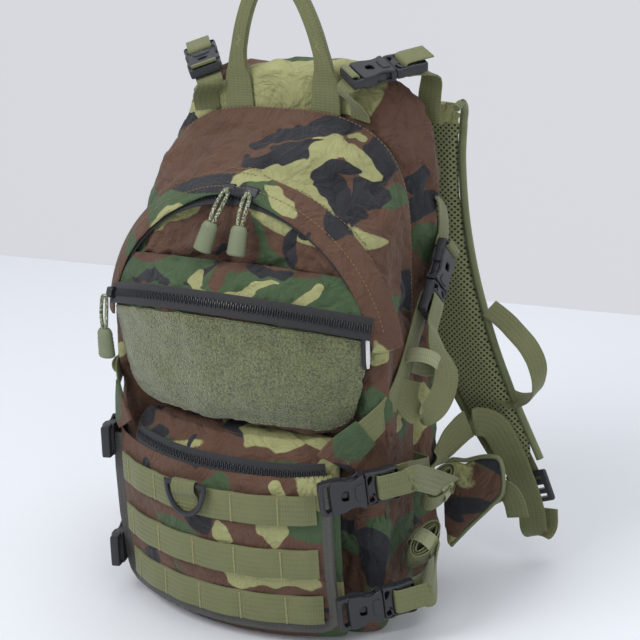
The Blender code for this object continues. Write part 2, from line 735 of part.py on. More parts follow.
def d_ring(plastic, webbing):
    """A D-ring hanging from a folded webbing tab on the top webbing row."""
    surface = bulge_point(math.degrees(math.asin(D_RING_X / ROW_RADIUS)), ROW_RADIUS, 121.0)
    front = surface.y - WEBBING_THICK - GAP - 1.3
    bar = Vector((D_RING_X, front - 5.2, 134.0))
    half, wire = 17.0, 2.2
    ring = []
    for k in range(17):
        angle = math.pi * k / 16
        ring.append(bar + Vector((half * math.cos(angle), -1.2 * math.sin(angle), -25.0 * math.sin(angle))))
    section = 8
    points, faces = [], []
    count = len(ring)
    for i, middle in enumerate(ring):
        before = ring[i - 1] if i else ring[-1]
        after = ring[(i + 1) % count]
        into = (middle - before).normalized()
        away = (after - middle).normalized()
        ahead = (into + away).normalized()
        side = Y_AXIS
        out = ahead.cross(side).normalized()
        stretch = min(1.8, 1.0 / max(0.3, ahead.dot(away)))
        for k in range(section):
            angle = 2 * math.pi * k / section
            offset = side * math.cos(angle) + out * (stretch * math.sin(angle))
            points.append(middle + offset * wire)
    for i in range(count):
        for k in range(section):
            a, b = i * section + k, i * section + (k + 1) % section
            c = ((i + 1) % count) * section
            faces.append((a, b, c + (k + 1) % section, c + k))
    solid("d_ring", points, faces, plastic, origin=bar)
    gap = wire + 0.6
    loop = [
        Vector((D_RING_X, front - 0.8, 110.0)),
        Vector((D_RING_X, front - 0.8, 126.0)),
        bar + Vector((0, gap + 0.8, -1.0)),
        bar + Vector((0, gap * 0.75, gap * 0.9)),
        bar + Vector((0, -gap * 0.6, gap)),
        bar + Vector((0, -gap - 0.6, -1.0)),
        bar + Vector((0, -gap + 0.3, -5.5)),
        Vector((D_RING_X, front - 2.9, 122.0)),
        Vector((D_RING_X, front - 2.9, 110.0)),
    ]
    ribbon("d_ring_tab", smooth_path(loop, 3), [X_AXIS] * (8 * 3 + 1), webbing, width=20.0, thick=1.2)


SHOULDER_ROUTE = (
    (97, 88, 398),
    (97, 99, 401),
    (91, 108, 386),
    (87, 112, 345),
    (91, 115, 285),
    (105, 118, 220),
    (129, 121, 155),
    (164, 124, 88),
)
SHOULDER_WIDTHS = (50.0, 54.0, 60.0, 62.0, 62.0, 60.0, 54.0, 42.0)
SHOULDER_THICKS = (5.0, 5.0, 8.0, 12.0, 12.0, 12.0, 11.0, 6.0)


def shoulder_strap(side_name, sign, cloth, plastic, webbing):
    """A padded shoulder strap, the ladder lock on its end and the webbing that runs through it."""
    steps = 3
    route = [mirrored(p, sign) for p in SHOULDER_ROUTE]
    line = smooth_path(route, steps)
    widths = along(route, list(SHOULDER_WIDTHS), steps)
    thicks = along(route, list(SHOULDER_THICKS), steps)
    rings = []
    for i, middle in enumerate(line):
        ahead = line[min(i + 1, len(line) - 1)] - line[max(i - 1, 0)]
        ahead.normalize()
        side = (X_AXIS - ahead * ahead.x).normalized()
        out = ahead.cross(side)
        ring = []
        for u, w in ((-1, 0), (-0.94, 0.7), (-0.8, 1), (0.8, 1), (0.94, 0.7), (1, 0), (0.94, -0.7)):
            ring.append(middle + side * (u * widths[i] / 2) + out * (w * thicks[i] / 2))
        for u, w in ((0.8, -1), (-0.8, -1), (-0.94, -0.7)):
            ring.append(middle + side * (u * widths[i] / 2) + out * (w * thicks[i] / 2))
        rings.append(ring)
    loft("shoulder_strap_" + side_name, rings, cloth, origin=mirrored(SHOULDER_ROUTE[0], sign))

    centre = mirrored((173, 123.5, 69), sign)
    down = mirrored((0.35, 0.0, -0.94), sign).normalized()
    frame = Matrix((down, Y_AXIS.cross(down), Y_AXIS)).transposed().to_4x4()
    body = block_object("ladder", (-14, -19, -2.2), (14, 19, 2.2), 1.2)
    cuts = [
        block_object("slot_top", (-9.5, -14, -5), (-5.5, 14, 5)),
        block_object("slot_low", (-1.5, -14, -5), (2.5, 14, 5)),
        block_object("slot_end", (6.5, -14, -5), (10.0, 14, 5)),
    ]
    lock = place("ladder_lock_" + side_name, carved(body, cuts), plastic, centre)
    frame.translation = centre
    lock.rotation_euler = frame.to_euler()

    arch = [
        (117.2, 60, 109),
        (118.5, 66, 116),
        (123, 80, 125),
        (132, 95, 133),
        (146, 107, 127),
        (157, 112, 106),
        (166, 115.5, 84),
        (171, 118.7, 67),
        (176, 119.5, 48),
        (178, 118.5, 34),
        (181, 122, 27),
        (184, 128, 34),
        (183, 130.5, 49),
    ]
    level = Vector((0.97, 0.0, 0.24))
    across = [
        Vector((0.1, 0.97, 0.0)),
        Vector((0.2, 0.95, -0.1)),
        Vector((0.45, 0.8, -0.2)),
        Vector((0.6, 0.7, 0.1)),
        Vector((0.75, 0.5, 0.3)),
        Vector((0.9, 0.3, 0.3)),
        *[level] * 7,
    ]
    strap("lower_webbing_" + side_name, arch, across, sign, webbing, steps=3)


def hip_wing(side_name, sign, cloth):
    """A padded wing of the hip belt, hinged at the pack's side."""
    outline = [(116.5, 20), (116.5, 97), (137, 108), (156, 115), (167, 112), (169, 86), (158, 70), (139, 48)]
    rings = []
    for y, inset in ((69.0, 0.05), (71.0, 0.0), (76.0, 0.0), (78.0, 0.05)):
        centre_x, centre_z = 144.0, 80.0
        ring = []
        for x, z in outline:
            ring.append(mirrored((x + (centre_x - x) * inset, y, z + (centre_z - z) * inset), sign))
        rings.append(ring)
    loft("hip_wing_" + side_name, rings, cloth, origin=mirrored((116.5, 73.5, 60), sign))


# ---------------------------------------------------------------- the whole pack


def build():
    """Makes every piece of the pack."""
    for obj in list(bpy.data.objects):
        bpy.data.objects.remove(obj)
    camouflage = material("camouflage_cloth", (0.16, 0.085, 0.05), 0.85)
    webbing = material("olive_webbing", (0.21, 0.21, 0.10), 0.8)
    hook_loop = material("hook_loop_cloth", (0.15, 0.17, 0.07), 0.95)
    plastic = material("buckle_plastic", (0.045, 0.047, 0.055), 0.45)
    tape = material("zipper_tape", (0.02, 0.02, 0.023), 0.6)
    metal = material("slider_metal", (0.03, 0.03, 0.032), 0.4, 0.8)
    cord = material("pull_cord", (0.14, 0.16, 0.09), 0.75)
    mesh_cloth = material("spacer_mesh", (0.12, 0.13, 0.06), 0.9)
    film = material("reservoir_film", (0.35, 0.5, 0.6), 0.25)

    hydration_sleeve(camouflage)
    rounded_plate(
        "back_pad",
        100.0,
        30.0,
        392.0,
        SLEEVE_BACK + GAP,
        SLEEVE_BACK + GAP + BACK_PAD_THICK,
        30.0,
        mesh_cloth,
    )
    reservoir(film, plastic)
    main_compartment(camouflage)
    front_pocket(camouflage, hook_loop)
    lower_front(camouflage, webbing)
    main_zip(tape, metal, cord)
    pocket_zip(tape, metal, cord)
    carry_handle(webbing)
    d_ring(plastic, webbing)
    buckles_and_straps(plastic, webbing)
    for side_name, sign in SIDES:
        shoulder_strap(side_name, sign, mesh_cloth, plastic, webbing)
        hip_wing(side_name, sign, camouflage)


build()
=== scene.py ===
"""Hydration pack: the looks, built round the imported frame.

Lengths are millimetres until a mesh is made. +X is the right seen from the front, -Y the front,
+Y the wearer's side and +Z up. Every moving piece rides on the CAD body of the same name.
"""

import math

import bmesh
import bpy
import numpy as np
from mathutils import Matrix, Vector, noise
from mathutils.bvhtree import BVHTree


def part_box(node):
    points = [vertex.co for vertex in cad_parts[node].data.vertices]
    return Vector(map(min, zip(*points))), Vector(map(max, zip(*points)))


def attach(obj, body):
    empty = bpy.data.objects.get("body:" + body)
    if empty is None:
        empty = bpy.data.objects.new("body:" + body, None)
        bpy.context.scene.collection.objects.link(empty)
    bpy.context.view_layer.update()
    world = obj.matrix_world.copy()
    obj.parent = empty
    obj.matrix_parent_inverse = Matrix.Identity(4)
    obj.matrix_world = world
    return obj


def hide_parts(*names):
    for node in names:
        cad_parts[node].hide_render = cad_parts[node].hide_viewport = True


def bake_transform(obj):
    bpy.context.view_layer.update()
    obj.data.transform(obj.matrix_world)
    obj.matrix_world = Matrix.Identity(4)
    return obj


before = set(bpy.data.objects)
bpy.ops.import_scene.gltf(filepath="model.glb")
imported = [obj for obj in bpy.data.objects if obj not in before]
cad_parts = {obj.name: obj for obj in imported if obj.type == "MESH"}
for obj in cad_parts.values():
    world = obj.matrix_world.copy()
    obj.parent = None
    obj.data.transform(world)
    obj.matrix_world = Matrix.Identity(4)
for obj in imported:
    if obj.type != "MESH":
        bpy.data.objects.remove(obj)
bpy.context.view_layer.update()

UNIT = 0.001
X_AXIS, Y_AXIS, Z_AXIS = Vector((1, 0, 0)), Vector((0, 1, 0)), Vector((0, 0, 1))
SIDES = (("left", -1), ("right", 1))

# Camera, in metres and degrees.
CAMERA_PLACE = (0.634, -1.029, 0.637)
CAMERA_AZIMUTH = 29.87
CAMERA_PITCH = 18.46
CAMERA_ROLL = -2.13
CAMERA_LENS = 88.65

# Lights, in metres and watts: (name, place, width, power).
LIGHTS = (
    ("key", (-0.9, -1.5, 1.9), 1.3, 33.0),
    ("fill", (1.7, -0.9, 1.2), 1.8, 9.0),
    ("top", (0.2, 0.4, 2.2), 1.6, 15.0),
)
LIGHTS_AIM = Vector((0, 0, 0.2))
SKY_COLOUR, SKY_STRENGTH = (0.93, 0.96, 1.0, 1.0), 0.42
WALL_GLOW, WALL_GLOW_STRENGTH = (0.93, 0.95, 1.0, 1.0), 0.62
# The white table ends on a slanting line behind the pack.
TABLE_EDGE = ((-3.9, 0.4), (3.0, 1.1))
TABLE_DEPTH, TABLE_DROP = 6.5, 0.6

WEBBING_WIDTH, STRAP_WIDTH = 25.0, 20.0
ARCH_CENTRE = Vector((0, -44, 228))
ARCH_RADIUS = 126.0


# ---------------------------------------------------------------- materials


def linear(red, green, blue):
    """A colour given as 0-255 display values, turned into linear light."""
    return tuple(((c / 255 + 0.055) / 1.055) ** 2.4 if c > 10 else c / 3294.6 for c in (red, green, blue))


class Nodes:
    """A small helper that builds one material's node tree."""

    def __init__(self, name, roughness=0.8, **sockets):
        self.material = bpy.data.materials.new(name)
        self.material.use_nodes = True
        self.tree = self.material.node_tree
        self.shader = self.tree.nodes["Principled BSDF"]
        self.shader.inputs["Roughness"].default_value = roughness
        for socket, value in sockets.items():
            self.shader.inputs[socket.replace("_", " ")].default_value = value
        self.coords = self.tree.nodes.new("ShaderNodeTexCoord")

    def link(self, source, target):
        self.tree.links.new(source, target)

    def add(self, kind, vector=None, **sockets):
        """A new node with its vector linked and its sockets set."""
        node = self.tree.nodes.new("ShaderNode" + kind)
        for socket, value in sockets.items():
            node.inputs[socket.replace("_", " ")].default_value = value
        if vector is not None:
            self.link(vector, node.inputs["Vector"])
        return node

    def put(self, value, socket):
        """Sets a socket to a number or a tuple, or links another node's output to it."""
        if isinstance(value, (int, float, tuple)):
            socket.default_value = value
        else:
            self.link(value, socket)

    def place(self, output="Object", scale=(1, 1, 1), offset=(0, 0, 0), turn=(0, 0, 0)):
        turn = [math.radians(a) for a in turn]
        node = self.add("Mapping", self.coords.outputs[output], Scale=scale, Location=offset, Rotation=turn)
        return node.outputs["Vector"]

    def noise(self, vector, scale, detail=2.0, roughness=0.5, distortion=0.0):
        node = self.add("TexNoise", vector, Scale=scale, Detail=detail, Roughness=roughness)
        node.inputs["Distortion"].default_value = distortion
        return node.outputs["Fac"]

    def wave(self, vector, scale, direction="X", profile="SIN"):
        node = self.add("TexWave", vector, Scale=scale, Distortion=0.0)
        node.bands_direction, node.wave_profile = direction, profile
        return node.outputs["Fac"]

    def cells(self, vector, scale, randomness=1.0):
        return self.add("TexVoronoi", vector, Scale=scale, Randomness=randomness).outputs["Distance"]

    def sum(self, a, b, operation="ADD"):
        node = self.add("Math")
        node.operation = operation
        for value, socket in zip((a, b), node.inputs):
            self.put(value, socket)
        return node.outputs["Value"]

    def scaled(self, value, factor):
        return self.sum(value, factor, "MULTIPLY")

    def warped(self, vector, scale, reach):
        """The vector, pushed about by smooth noise so that shapes drawn with it get wavy edges."""
        node = self.add("TexNoise", vector, Scale=scale, Detail=2.2, Roughness=0.4)
        push = self.add("VectorMath")
        push.operation = "MULTIPLY_ADD"
        total = self.add("VectorMath")
        self.link(node.outputs["Color"], push.inputs[0])
        self.put((reach,) * 3, push.inputs[1])
        self.put((-reach / 2,) * 3, push.inputs[2])
        self.link(vector, total.inputs[0])
        self.link(push.outputs["Vector"], total.inputs[1])
        return total.outputs["Vector"]

    def oval(self, vector, middle, radii, turn):
        """1 inside an ellipsoid given in millimetres, turned anticlockwise as seen from the front."""
        centre, size = [c * UNIT for c in middle], [r * UNIT for r in radii]
        turned = (0, math.radians(-turn), 0)
        node = self.add("Mapping", vector, Location=centre, Rotation=turned, Scale=size)
        node.vector_type = "TEXTURE"
        length = self.add("VectorMath")
        length.operation = "LENGTH"
        self.link(node.outputs["Vector"], length.inputs[0])
        return self.step(length.outputs["Value"], 1.02, 0.97)

    def step(self, value, low, high):
        """0 below low, 1 above high."""
        node = self.add("MapRange", From_Min=low, From_Max=high)
        self.link(value, node.inputs["Value"])
        return node.outputs["Result"]

    def mix(self, factor, a, b):
        node = self.add("Mix")
        node.data_type = "RGBA"
        self.link(factor, node.inputs["Factor"])
        for value, socket in ((a, node.inputs[6]), (b, node.inputs[7])):
            self.put((*value, 1.0) if isinstance(value, tuple) else value, socket)
        return node.outputs[2]

    def shade(self, colour, amount, low=0.75, high=1.15):
        """The colour, darkened and lightened by a 0-1 value."""
        spread = self.add("MapRange", To_Min=low, To_Max=high)
        self.link(amount, spread.inputs["Value"])
        node = self.add("VectorMath")
        node.operation = "SCALE"
        self.put(colour, node.inputs[0])
        self.link(spread.outputs["Result"], node.inputs["Scale"])
        return node.outputs["Vector"]

    def bump(self, height, distance, strength=1.0):
        node = self.add("Bump", Strength=strength, Distance=distance)
        self.link(height, node.inputs["Height"])
        normal = self.shader.inputs["Normal"]
        if normal.links:
            self.link(normal.links[0].from_socket, node.inputs["Normal"])
        self.link(node.outputs["Normal"], normal)

    def colour(self, value):
        self.put((*value, 1.0) if isinstance(value, tuple) else value, self.shader.inputs["Base Color"])
        return self.material


BROWN = linear(88, 61, 46)
BLACK = linear(34, 34, 40)
GREEN = linear(62, 82, 52)
TAN = linear(152, 152, 104)
OLIVE = linear(108, 111, 73)


# The print's layers over its brown ground: (colour, seed, scale, level that the noise has to pass).
PRINT_LAYERS = (
    (GREEN, (3.1, 0.4, 1.7), 6.8, 0.53),
    (TAN, (7.3, 2.2, 5.1), 7.4, 0.57),
    (BLACK, (1.9, 6.4, 2.3), 9.0, 0.575),
)


def camouflage(name, offset=(0, 0, 0), turn=(0, 0, 0), dark=1.0, patches=()):
    """Woven camouflage cloth; offset and turn say which part of the print the panel was cut from.

    patches adds single shapes of the print, as (colour, middle, radii, turn) in millimetres and degrees.
    """
    n = Nodes("camouflage_cloth_" + name, 0.84, Sheen_Weight=0.08, Sheen_Roughness=0.5)
    space = n.place(scale=(1.0, 1.0, 1.5), offset=offset, turn=turn)
    rough = n.noise(n.place(), 260.0, 2.0, 0.7)
    jag = n.scaled(n.sum(rough, 0.5, "SUBTRACT"), 0.02)
    # A panel with shapes of its own has fewer of the noise's.
    rare = 0.07 if patches else 0.0

    def patch(seed, scale, level):
        shifted = n.add("VectorMath")
        n.put(seed, shifted.inputs[1])
        n.link(space, shifted.inputs[0])
        value = n.noise(shifted.outputs["Vector"], scale, 1.5, 0.42, 1.2)
        level += rare
        return n.step(n.sum(value, jag), level - 0.005, level + 0.005)

    colour = BROWN
    for tone, seed, scale, level in PRINT_LAYERS:
        colour = n.mix(patch(seed, scale, level), colour, tone)
    if patches:
        wavy = n.warped(n.place(), 32.0, 0.034)
        for tone, middle, radii, angle in patches:
            colour = n.mix(n.oval(wavy, middle, radii, angle), colour, tone)
    threads = n.place()
    weave = n.sum(n.wave(threads, 520.0, "X"), n.wave(threads, 520.0, "Z"))
    fine = n.noise(threads, 900.0, 2.0, 0.6)
    grid = n.sum(n.wave(threads, 62.0, "X", "SAW"), n.wave(threads, 62.0, "Z", "SAW"), "MAXIMUM")
    tone = n.sum(n.noise(threads, 26.0, 3.0, 0.6), n.scaled(fine, 0.55))
    colour = n.shade(colour, tone, 0.62 * dark, 1.25 * dark)
    n.bump(n.sum(weave, fine), 0.00014, 0.6)
    n.bump(n.step(grid, 0.93, 1.0), 0.0002, 0.5)
    n.bump(n.noise(threads, 42.0, 3.0, 0.55, 1.4), 0.010, 0.7)
    return n.colour(colour)


# A wave texture of this scale, over a spacing in millimetres, repeats at that spacing.
WAVES_PER_METRE = 160.0


def webbing_cloth(name="olive_webbing", tone=OLIVE, rib=1.1):
    """Woven nylon webbing: fine ribs across and a herringbone shade."""
    n = Nodes(name, 0.72, Sheen_Weight=0.2, Sheen_Roughness=0.4)
    flat = n.place("UV")
    ribs = n.wave(flat, WAVES_PER_METRE / rib, "Y")
    rows = n.wave(flat, WAVES_PER_METRE / 2.1, "X")
    fine = n.noise(flat, 1500.0, 2.0, 0.7)
    weave = n.sum(n.scaled(ribs, rows), n.scaled(fine, 0.5))
    worn = n.noise(n.place(), 45.0, 3.0, 0.6)
    colour = n.shade(tone, n.sum(weave, worn), 0.55, 1.08)
    n.bump(weave, 0.0003, 0.8)
    return n.colour(colour)


def pile_cloth():
    """The napped loops of hook-and-loop cloth."""
    n = Nodes("hook_loop_cloth", 0.95, Sheen_Weight=0.35, Sheen_Roughness=0.6)
    space = n.place()
    loops = n.noise(space, 620.0, 2.0, 0.7)
    curls = n.cells(space, 620.0)
    clumps = n.noise(space, 55.0, 3.0, 0.65)
    tone = n.sum(n.scaled(loops, 0.84), n.scaled(clumps, 0.16))
    colour = n.shade(linear(98, 103, 66), n.step(tone, 0.36, 0.62), 0.42, 1.5)
    n.bump(n.sum(loops, curls), 0.0009)
    return n.colour(colour)


def plastic(name="buckle_plastic", tone=(40, 41, 46), roughness=0.36):
    """Moulded acetal with a fine spark-eroded grain."""
    n = Nodes(name, roughness)
    space = n.place()
    grain = n.noise(space, 900.0, 2.0, 0.6)
    scuffs = n.noise(space, 70.0, 4.0, 0.7)
    n.bump(grain, 0.00008, 0.5)
    n.link(n.step(scuffs, -0.45, 1.7), n.shader.inputs["Roughness"])
    return n.colour(n.shade(linear(*tone), scuffs, 0.75, 1.2))


def zip_tape():
    """Black woven zipper tape."""
    n = Nodes("zipper_tape", 0.7, Sheen_Weight=0.1)
    flat = n.place("UV")
    ribs = n.sum(n.wave(flat, 260.0, "Y"), n.wave(flat, 300.0, "X"))
    n.bump(ribs, 0.0002, 0.6)
    return n.colour(n.shade(linear(36, 36, 39), n.noise(n.place(), 200.0, 3.0), 0.7, 1.25))


def coil_plastic():
    """The glossy polyester coil of a zipper."""
    n = Nodes("zipper_coil", 0.35)
    return n.colour(n.shade(linear(50, 50, 55), n.noise(n.place(), 300.0), 0.7, 1.3))


def slider_metal():
    """Black painted zinc, worn bright in scattered patches."""
    n = Nodes("slider_metal", 0.34, Metallic=0.75)
    worn = n.step(n.noise(n.place(), 350.0, 3.0, 0.7), 0.55, 0.75)
    return n.colour(n.mix(worn, linear(38, 38, 41), linear(96, 96, 98)))


def speckled_cord():
    """Braided cord: olive yarn with pale and dark flecks."""
    n = Nodes("pull_cord", 0.8, Sheen_Weight=0.15)
    flecks = n.noise(n.place(), 900.0, 1.0, 0.5)
    colour = n.mix(n.step(flecks, 0.56, 0.60), linear(116, 122, 92), linear(196, 198, 176))
    colour = n.mix(n.step(flecks, 0.42, 0.38), colour, linear(48, 52, 40))
    n.bump(n.noise(n.place(), 700.0), 0.0003, 0.8)
    return n.colour(colour)


def grip_rubber():
    """The olive moulded grip of a zipper pull."""
    n = Nodes("pull_grip", 0.55)
    n.bump(n.noise(n.place(), 500.0, 3.0), 0.0001, 0.5)
    return n.colour(n.shade(linear(118, 126, 98), n.noise(n.place(), 60.0, 3.0), 0.8, 1.15))


def spacer_mesh():
    """Open spacer mesh: olive cloth with staggered rows of holes, painted dark olive as shade inside them.
    """
    n = Nodes("spacer_mesh", 0.85, Sheen_Weight=0.15)
    turned = n.place(turn=(0, 45, 0), scale=(1, 0, 1))
    hole = n.step(n.cells(turned, 300.0, 0.0), 0.34, 0.25)
    yarn = n.noise(n.place(), 800.0, 2.0, 0.7)
    # The holes get a dark olive colour, which is painted shade inside them; around them the yarn keeps its
    # own tone.
    colour = n.mix(hole, n.shade(linear(132, 136, 94), yarn, 0.75, 1.3), linear(34, 38, 26))
    n.bump(n.sum(n.scaled(hole, -1.0), n.scaled(yarn, 0.25)), 0.0011, 0.9)
    return n.colour(colour)


def film():
    """The reservoir's welded film."""
    n = Nodes("reservoir_film", 0.2, IOR=1.4, Alpha=1.0)
    return n.colour(n.shade(linear(158, 188, 208), n.noise(n.place(), 30.0), 0.9, 1.1))


def thread(tone):
    """Sewing thread."""
    n = Nodes("thread_%d_%d_%d" % tone, 0.75)
    return n.colour(n.shade(linear(*tone), n.noise(n.place(), 500.0), 0.8, 1.15))


WEBBING = webbing_cloth()
ELASTIC = webbing_cloth("olive_elastic", linear(146, 150, 116), 0.9)
BINDING = webbing_cloth("dark_grosgrain", linear(72, 72, 68), 1.5)
PILE = pile_cloth()
PLASTIC = plastic()
CAP = plastic("cap_plastic", (38, 40, 44), 0.4)
TAPE = zip_tape()
COIL = coil_plastic()
METAL = slider_metal()
CORD = speckled_cord()
GRIP = grip_rubber()
MESH = spacer_mesh()
TRIM = webbing_cloth("olive_trim", linear(112, 118, 82), 0.8)
FILM = film()
THREAD = thread((136, 116, 86))
THREAD_OLIVE = thread((148, 146, 104))
TAG_DARK = plastic("side_tag_dark", (24, 24, 26), 0.6)
TAG_PALE = plastic("side_tag_pale", (226, 226, 222), 0.6)


# ---------------------------------------------------------------- building blocks


def finish_piece(obj, material, body, nodes=(), smooth=45.0):
    """Gives a new piece its material, its CAD body, and the nodes that it stands for."""
    if not obj.data.materials:
        obj.data.materials.append(material)
    if smooth:
        obj.data.shade_smooth()
        obj.data.set_sharp_from_angle(angle=math.radians(smooth))
    if body:
        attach(obj, body)
    if nodes:
        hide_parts(*nodes)
    return obj


def camouflaged(obj, panel, offset, turn=(0, 0, 0), patches=(), node=None, body="root"):
    """Finishes a piece in its own cut of camouflage cloth."""
    cloth = camouflage(panel, offset, turn, patches=patches)
    return finish_piece(obj, cloth, body, [node] if node else (), 60)


def linked(name, data):
    """An object in the scene for a mesh, a curve, a light or a camera."""
    obj = bpy.data.objects.new(name, data)
    bpy.context.scene.collection.objects.link(obj)
    return obj


def mesh_object(name, points, faces, uvs=None):
    """An object from points in millimetres; uvs holds one pair per point, in millimetres."""
    shape = bmesh.new()
    corners = [shape.verts.new(Vector(p) * UNIT) for p in points]
    layer = shape.loops.layers.uv.new("UVMap") if uvs else None
    for face in faces:
        made = shape.faces.new([corners[i] for i in face])
        if uvs:
            for loop, i in zip(made.loops, face):
                loop[layer].uv = (uvs[i][0] * UNIT, uvs[i][1] * UNIT)
    bmesh.ops.recalc_face_normals(shape, faces=shape.faces)
    mesh = bpy.data.meshes.new(name)
    shape.to_mesh(mesh)
    shape.free()
    return linked(name, mesh)


def plain_mesh(name, points, faces):
    """An object from points in millimetres and faces whose order is already right."""
    mesh = bpy.data.meshes.new(name)
    mesh.from_pydata([tuple(Vector(p) * UNIT) for p in points], [], faces)
    return linked(name, mesh)


def loft(name, rings, uvs=None):
    """A skin through rings of equally many points, closed at both ends."""
    count = len(rings[0])
    points = [p for ring in rings for p in ring]
    last = len(points) - count
    faces = []
    for base in range(0, last, count):
        for i in range(count):
            j = (i + 1) % count
            faces.append((base + i, base + j, base + count + j, base + count + i))
    faces += [tuple(range(count)), tuple(range(last, len(points)))]
    return mesh_object(name, points, faces, uvs)


def smooth_path(points, steps):
    """A Catmull-Rom curve through points or plain vectors of any size, as numpy rows."""
    line = [np.array(p, float) for p in points]
    padded = [2 * line[0] - line[1], *line, 2 * line[-1] - line[-2]]
    made = []
    for i in range(1, len(padded) - 2):
        a, b, c, d = padded[i - 1 : i + 3]
        for k in range(steps):
            t = k / steps
            bend = 2 * b + (c - a) * t + (2 * a - 5 * b + 4 * c - d) * t * t
            made.append(0.5 * (bend + (3 * b - a - 3 * c + d) * t**3))
    made.append(line[-1])
    return made


def vectors(rows):
    return [Vector(r) for r in rows]


def rounded_line(points, times=2):
    """Cuts the corners of a polyline, keeping its ends."""
    line = [np.array(p, float) for p in points]
    for _ in range(times):
        cut = [line[0]]
        for a, b in zip(line, line[1:]):
            cut += [0.75 * a + 0.25 * b, 0.25 * a + 0.75 * b]
        cut.append(line[-1])
        line = cut
    return line


def resampled(points, step):
    """Points at an even spacing along a polyline."""
    line = [Vector(p) for p in points]
    total, marks = 0.0, [0.0]
    for a, b in zip(line, line[1:]):
        total += (b - a).length
        marks.append(total)
    count = max(2, int(total / step))
    made, k = [], 0
    for i in range(count + 1):
        want = total * i / count
        while k < len(line) - 2 and marks[k + 1] < want:
            k += 1
        span = max(marks[k + 1] - marks[k], 1e-6)
        made.append(line[k].lerp(line[k + 1], (want - marks[k]) / span))
    return made


def tangents(line):
    made = []
    for i in range(len(line)):
        ahead = line[min(i + 1, len(line) - 1)] - line[max(i - 1, 0)]
        made.append(ahead.normalized() if ahead.length > 1e-9 else X_AXIS.copy())
    return made


SECTION = ((-1, 0), (-0.975, 0.75), (-0.92, 1), (-0.45, 1), (0, 1), (0.45, 1), (0.92, 1), (0.975, 0.75))


def ribbon(name, line, across, width, thick, material, body=None, nodes=(), wave=0.0):
    """A strap along a line, its rounded section turned so that its width follows the across vectors."""
    line, ahead = vectors(line), tangents(vectors(line))
    widths = width if isinstance(width, list) else [width] * len(line)
    thicks = thick if isinstance(thick, list) else [thick] * len(line)
    section = SECTION + tuple((-u, -w) for u, w in SECTION)
    rings, uvs, run = [], [], 0.0
    for i, point in enumerate(line):
        run += (point - line[i - 1]).length if i else 0.0
        side = Vector(across[i])
        side = (side - ahead[i] * side.dot(ahead[i])).normalized()
        out = ahead[i].cross(side)
        swell = wave * noise.noise(point * 0.06 + Vector((0, 0, run * 0.01)))
        middle = point + out * swell
        rings.append([middle + side * (u * widths[i] / 2) + out * (w * thicks[i] / 2) for u, w in section])
        uvs += [(u * widths[i] / 2, run) for u, _ in section]
    obj = loft(name, rings, uvs=uvs)
    return finish_piece(obj, material, body, nodes)


def webbing(name, line, across, width, thick, body, node=None, times=2):
    """A strap of olive webbing; times says how often the corners of its route and twist are cut."""
    line, across = rounded_line(line, times), rounded_line(across, times)
    nodes = [node] if node else ()
    return ribbon(name, line, across, width, thick, WEBBING, body, nodes)


def tube(name, line, radius, material, body=None, nodes=(), count=8, squash=1.0, hint=X_AXIS):
    """A round or flattened tube along a line, with a radius that may change."""
    line = vectors(line)
    ahead = tangents(line)
    radii = radius if isinstance(radius, list) else [radius] * len(line)
    rings, uvs, run = [], [], 0.0
    for i, point in enumerate(line):
        run += (point - line[i - 1]).length if i else 0.0
        side = hint - ahead[i] * hint.dot(ahead[i])
        side.normalize()
        out = ahead[i].cross(side)
        ring = []
        for k in range(count):
            angle = 2 * math.pi * k / count
            ring.append(point + (side * math.cos(angle) + out * squash * math.sin(angle)) * radii[i])
            uvs.append((radii[i] * angle, run))
        rings.append(ring)
    obj = loft(name, rings, uvs=uvs)
    return finish_piece(obj, material, body, nodes)


def blocks(name, frames, size, material, body, smooth=70.0):
    """Many small rounded bars in one mesh; each frame is (middle, along, out)."""
    length, width, height = (s / 2 for s in size)
    points, faces = [], []
    for middle, along, out in frames:
        along = along.normalized()
        out = (out - along * out.dot(along)).normalized()
        side = out.cross(along)
        base = len(points)
        for x, shrink in ((-1.0, 0.55), (-0.6, 1.0), (0.6, 1.0), (1.0, 0.55)):
            for y, z in ((-1, -0.4), (-0.6, 1), (0.6, 1), (1, -0.4)):
                place = along * (x * length) + side * (y * width * shrink) + out * (z * height * shrink)
                points.append(middle + place)
        for ring in range(3):
            for k in range(4):
                a, b = base + ring * 4 + k, base + ring * 4 + (k + 1) % 4
                faces.append((a, b, b + 4, a + 4))
        faces.append((base, base + 1, base + 2, base + 3))
        faces.append((base + 12, base + 13, base + 14, base + 15))
    obj = mesh_object(name, points, faces)
    return finish_piece(obj, material, body, smooth=smooth)


class Surface:
    """The final skin of a piece, to lay trims and stitches on."""

    def __init__(self, *objs):
        graph = bpy.context.evaluated_depsgraph_get()
        self.trees = [BVHTree.FromObject(obj, graph) for obj in objs]

    def near(self, point, lift=0.0):
        """(the point dropped on the skin and lifted off it, the skin's normal there)."""
        best = None
        for tree in self.trees:
            hit, normal, _, distance = tree.find_nearest(Vector(point) * UNIT)
            if hit and (best is None or distance < best[2]):
                best = (hit / UNIT, normal, distance)
        place, normal, _ = best
        return place + normal * lift, normal

    def line(self, points, step=3.0, lift=0.0):
        """A polyline laid on the skin, and the normals along it."""
        placed = [self.near(p, lift) for p in resampled(points, step)]
        return [p for p, _ in placed], [n for _, n in placed]


def stitch_frames(surface, points, pitch=3.6, lift=0.25):
    """Frames for a row of stitches laid along a line on a skin."""
    line, normals = surface.line(points, pitch, lift)
    return list(zip(line, tangents(line), normals))[:-1]


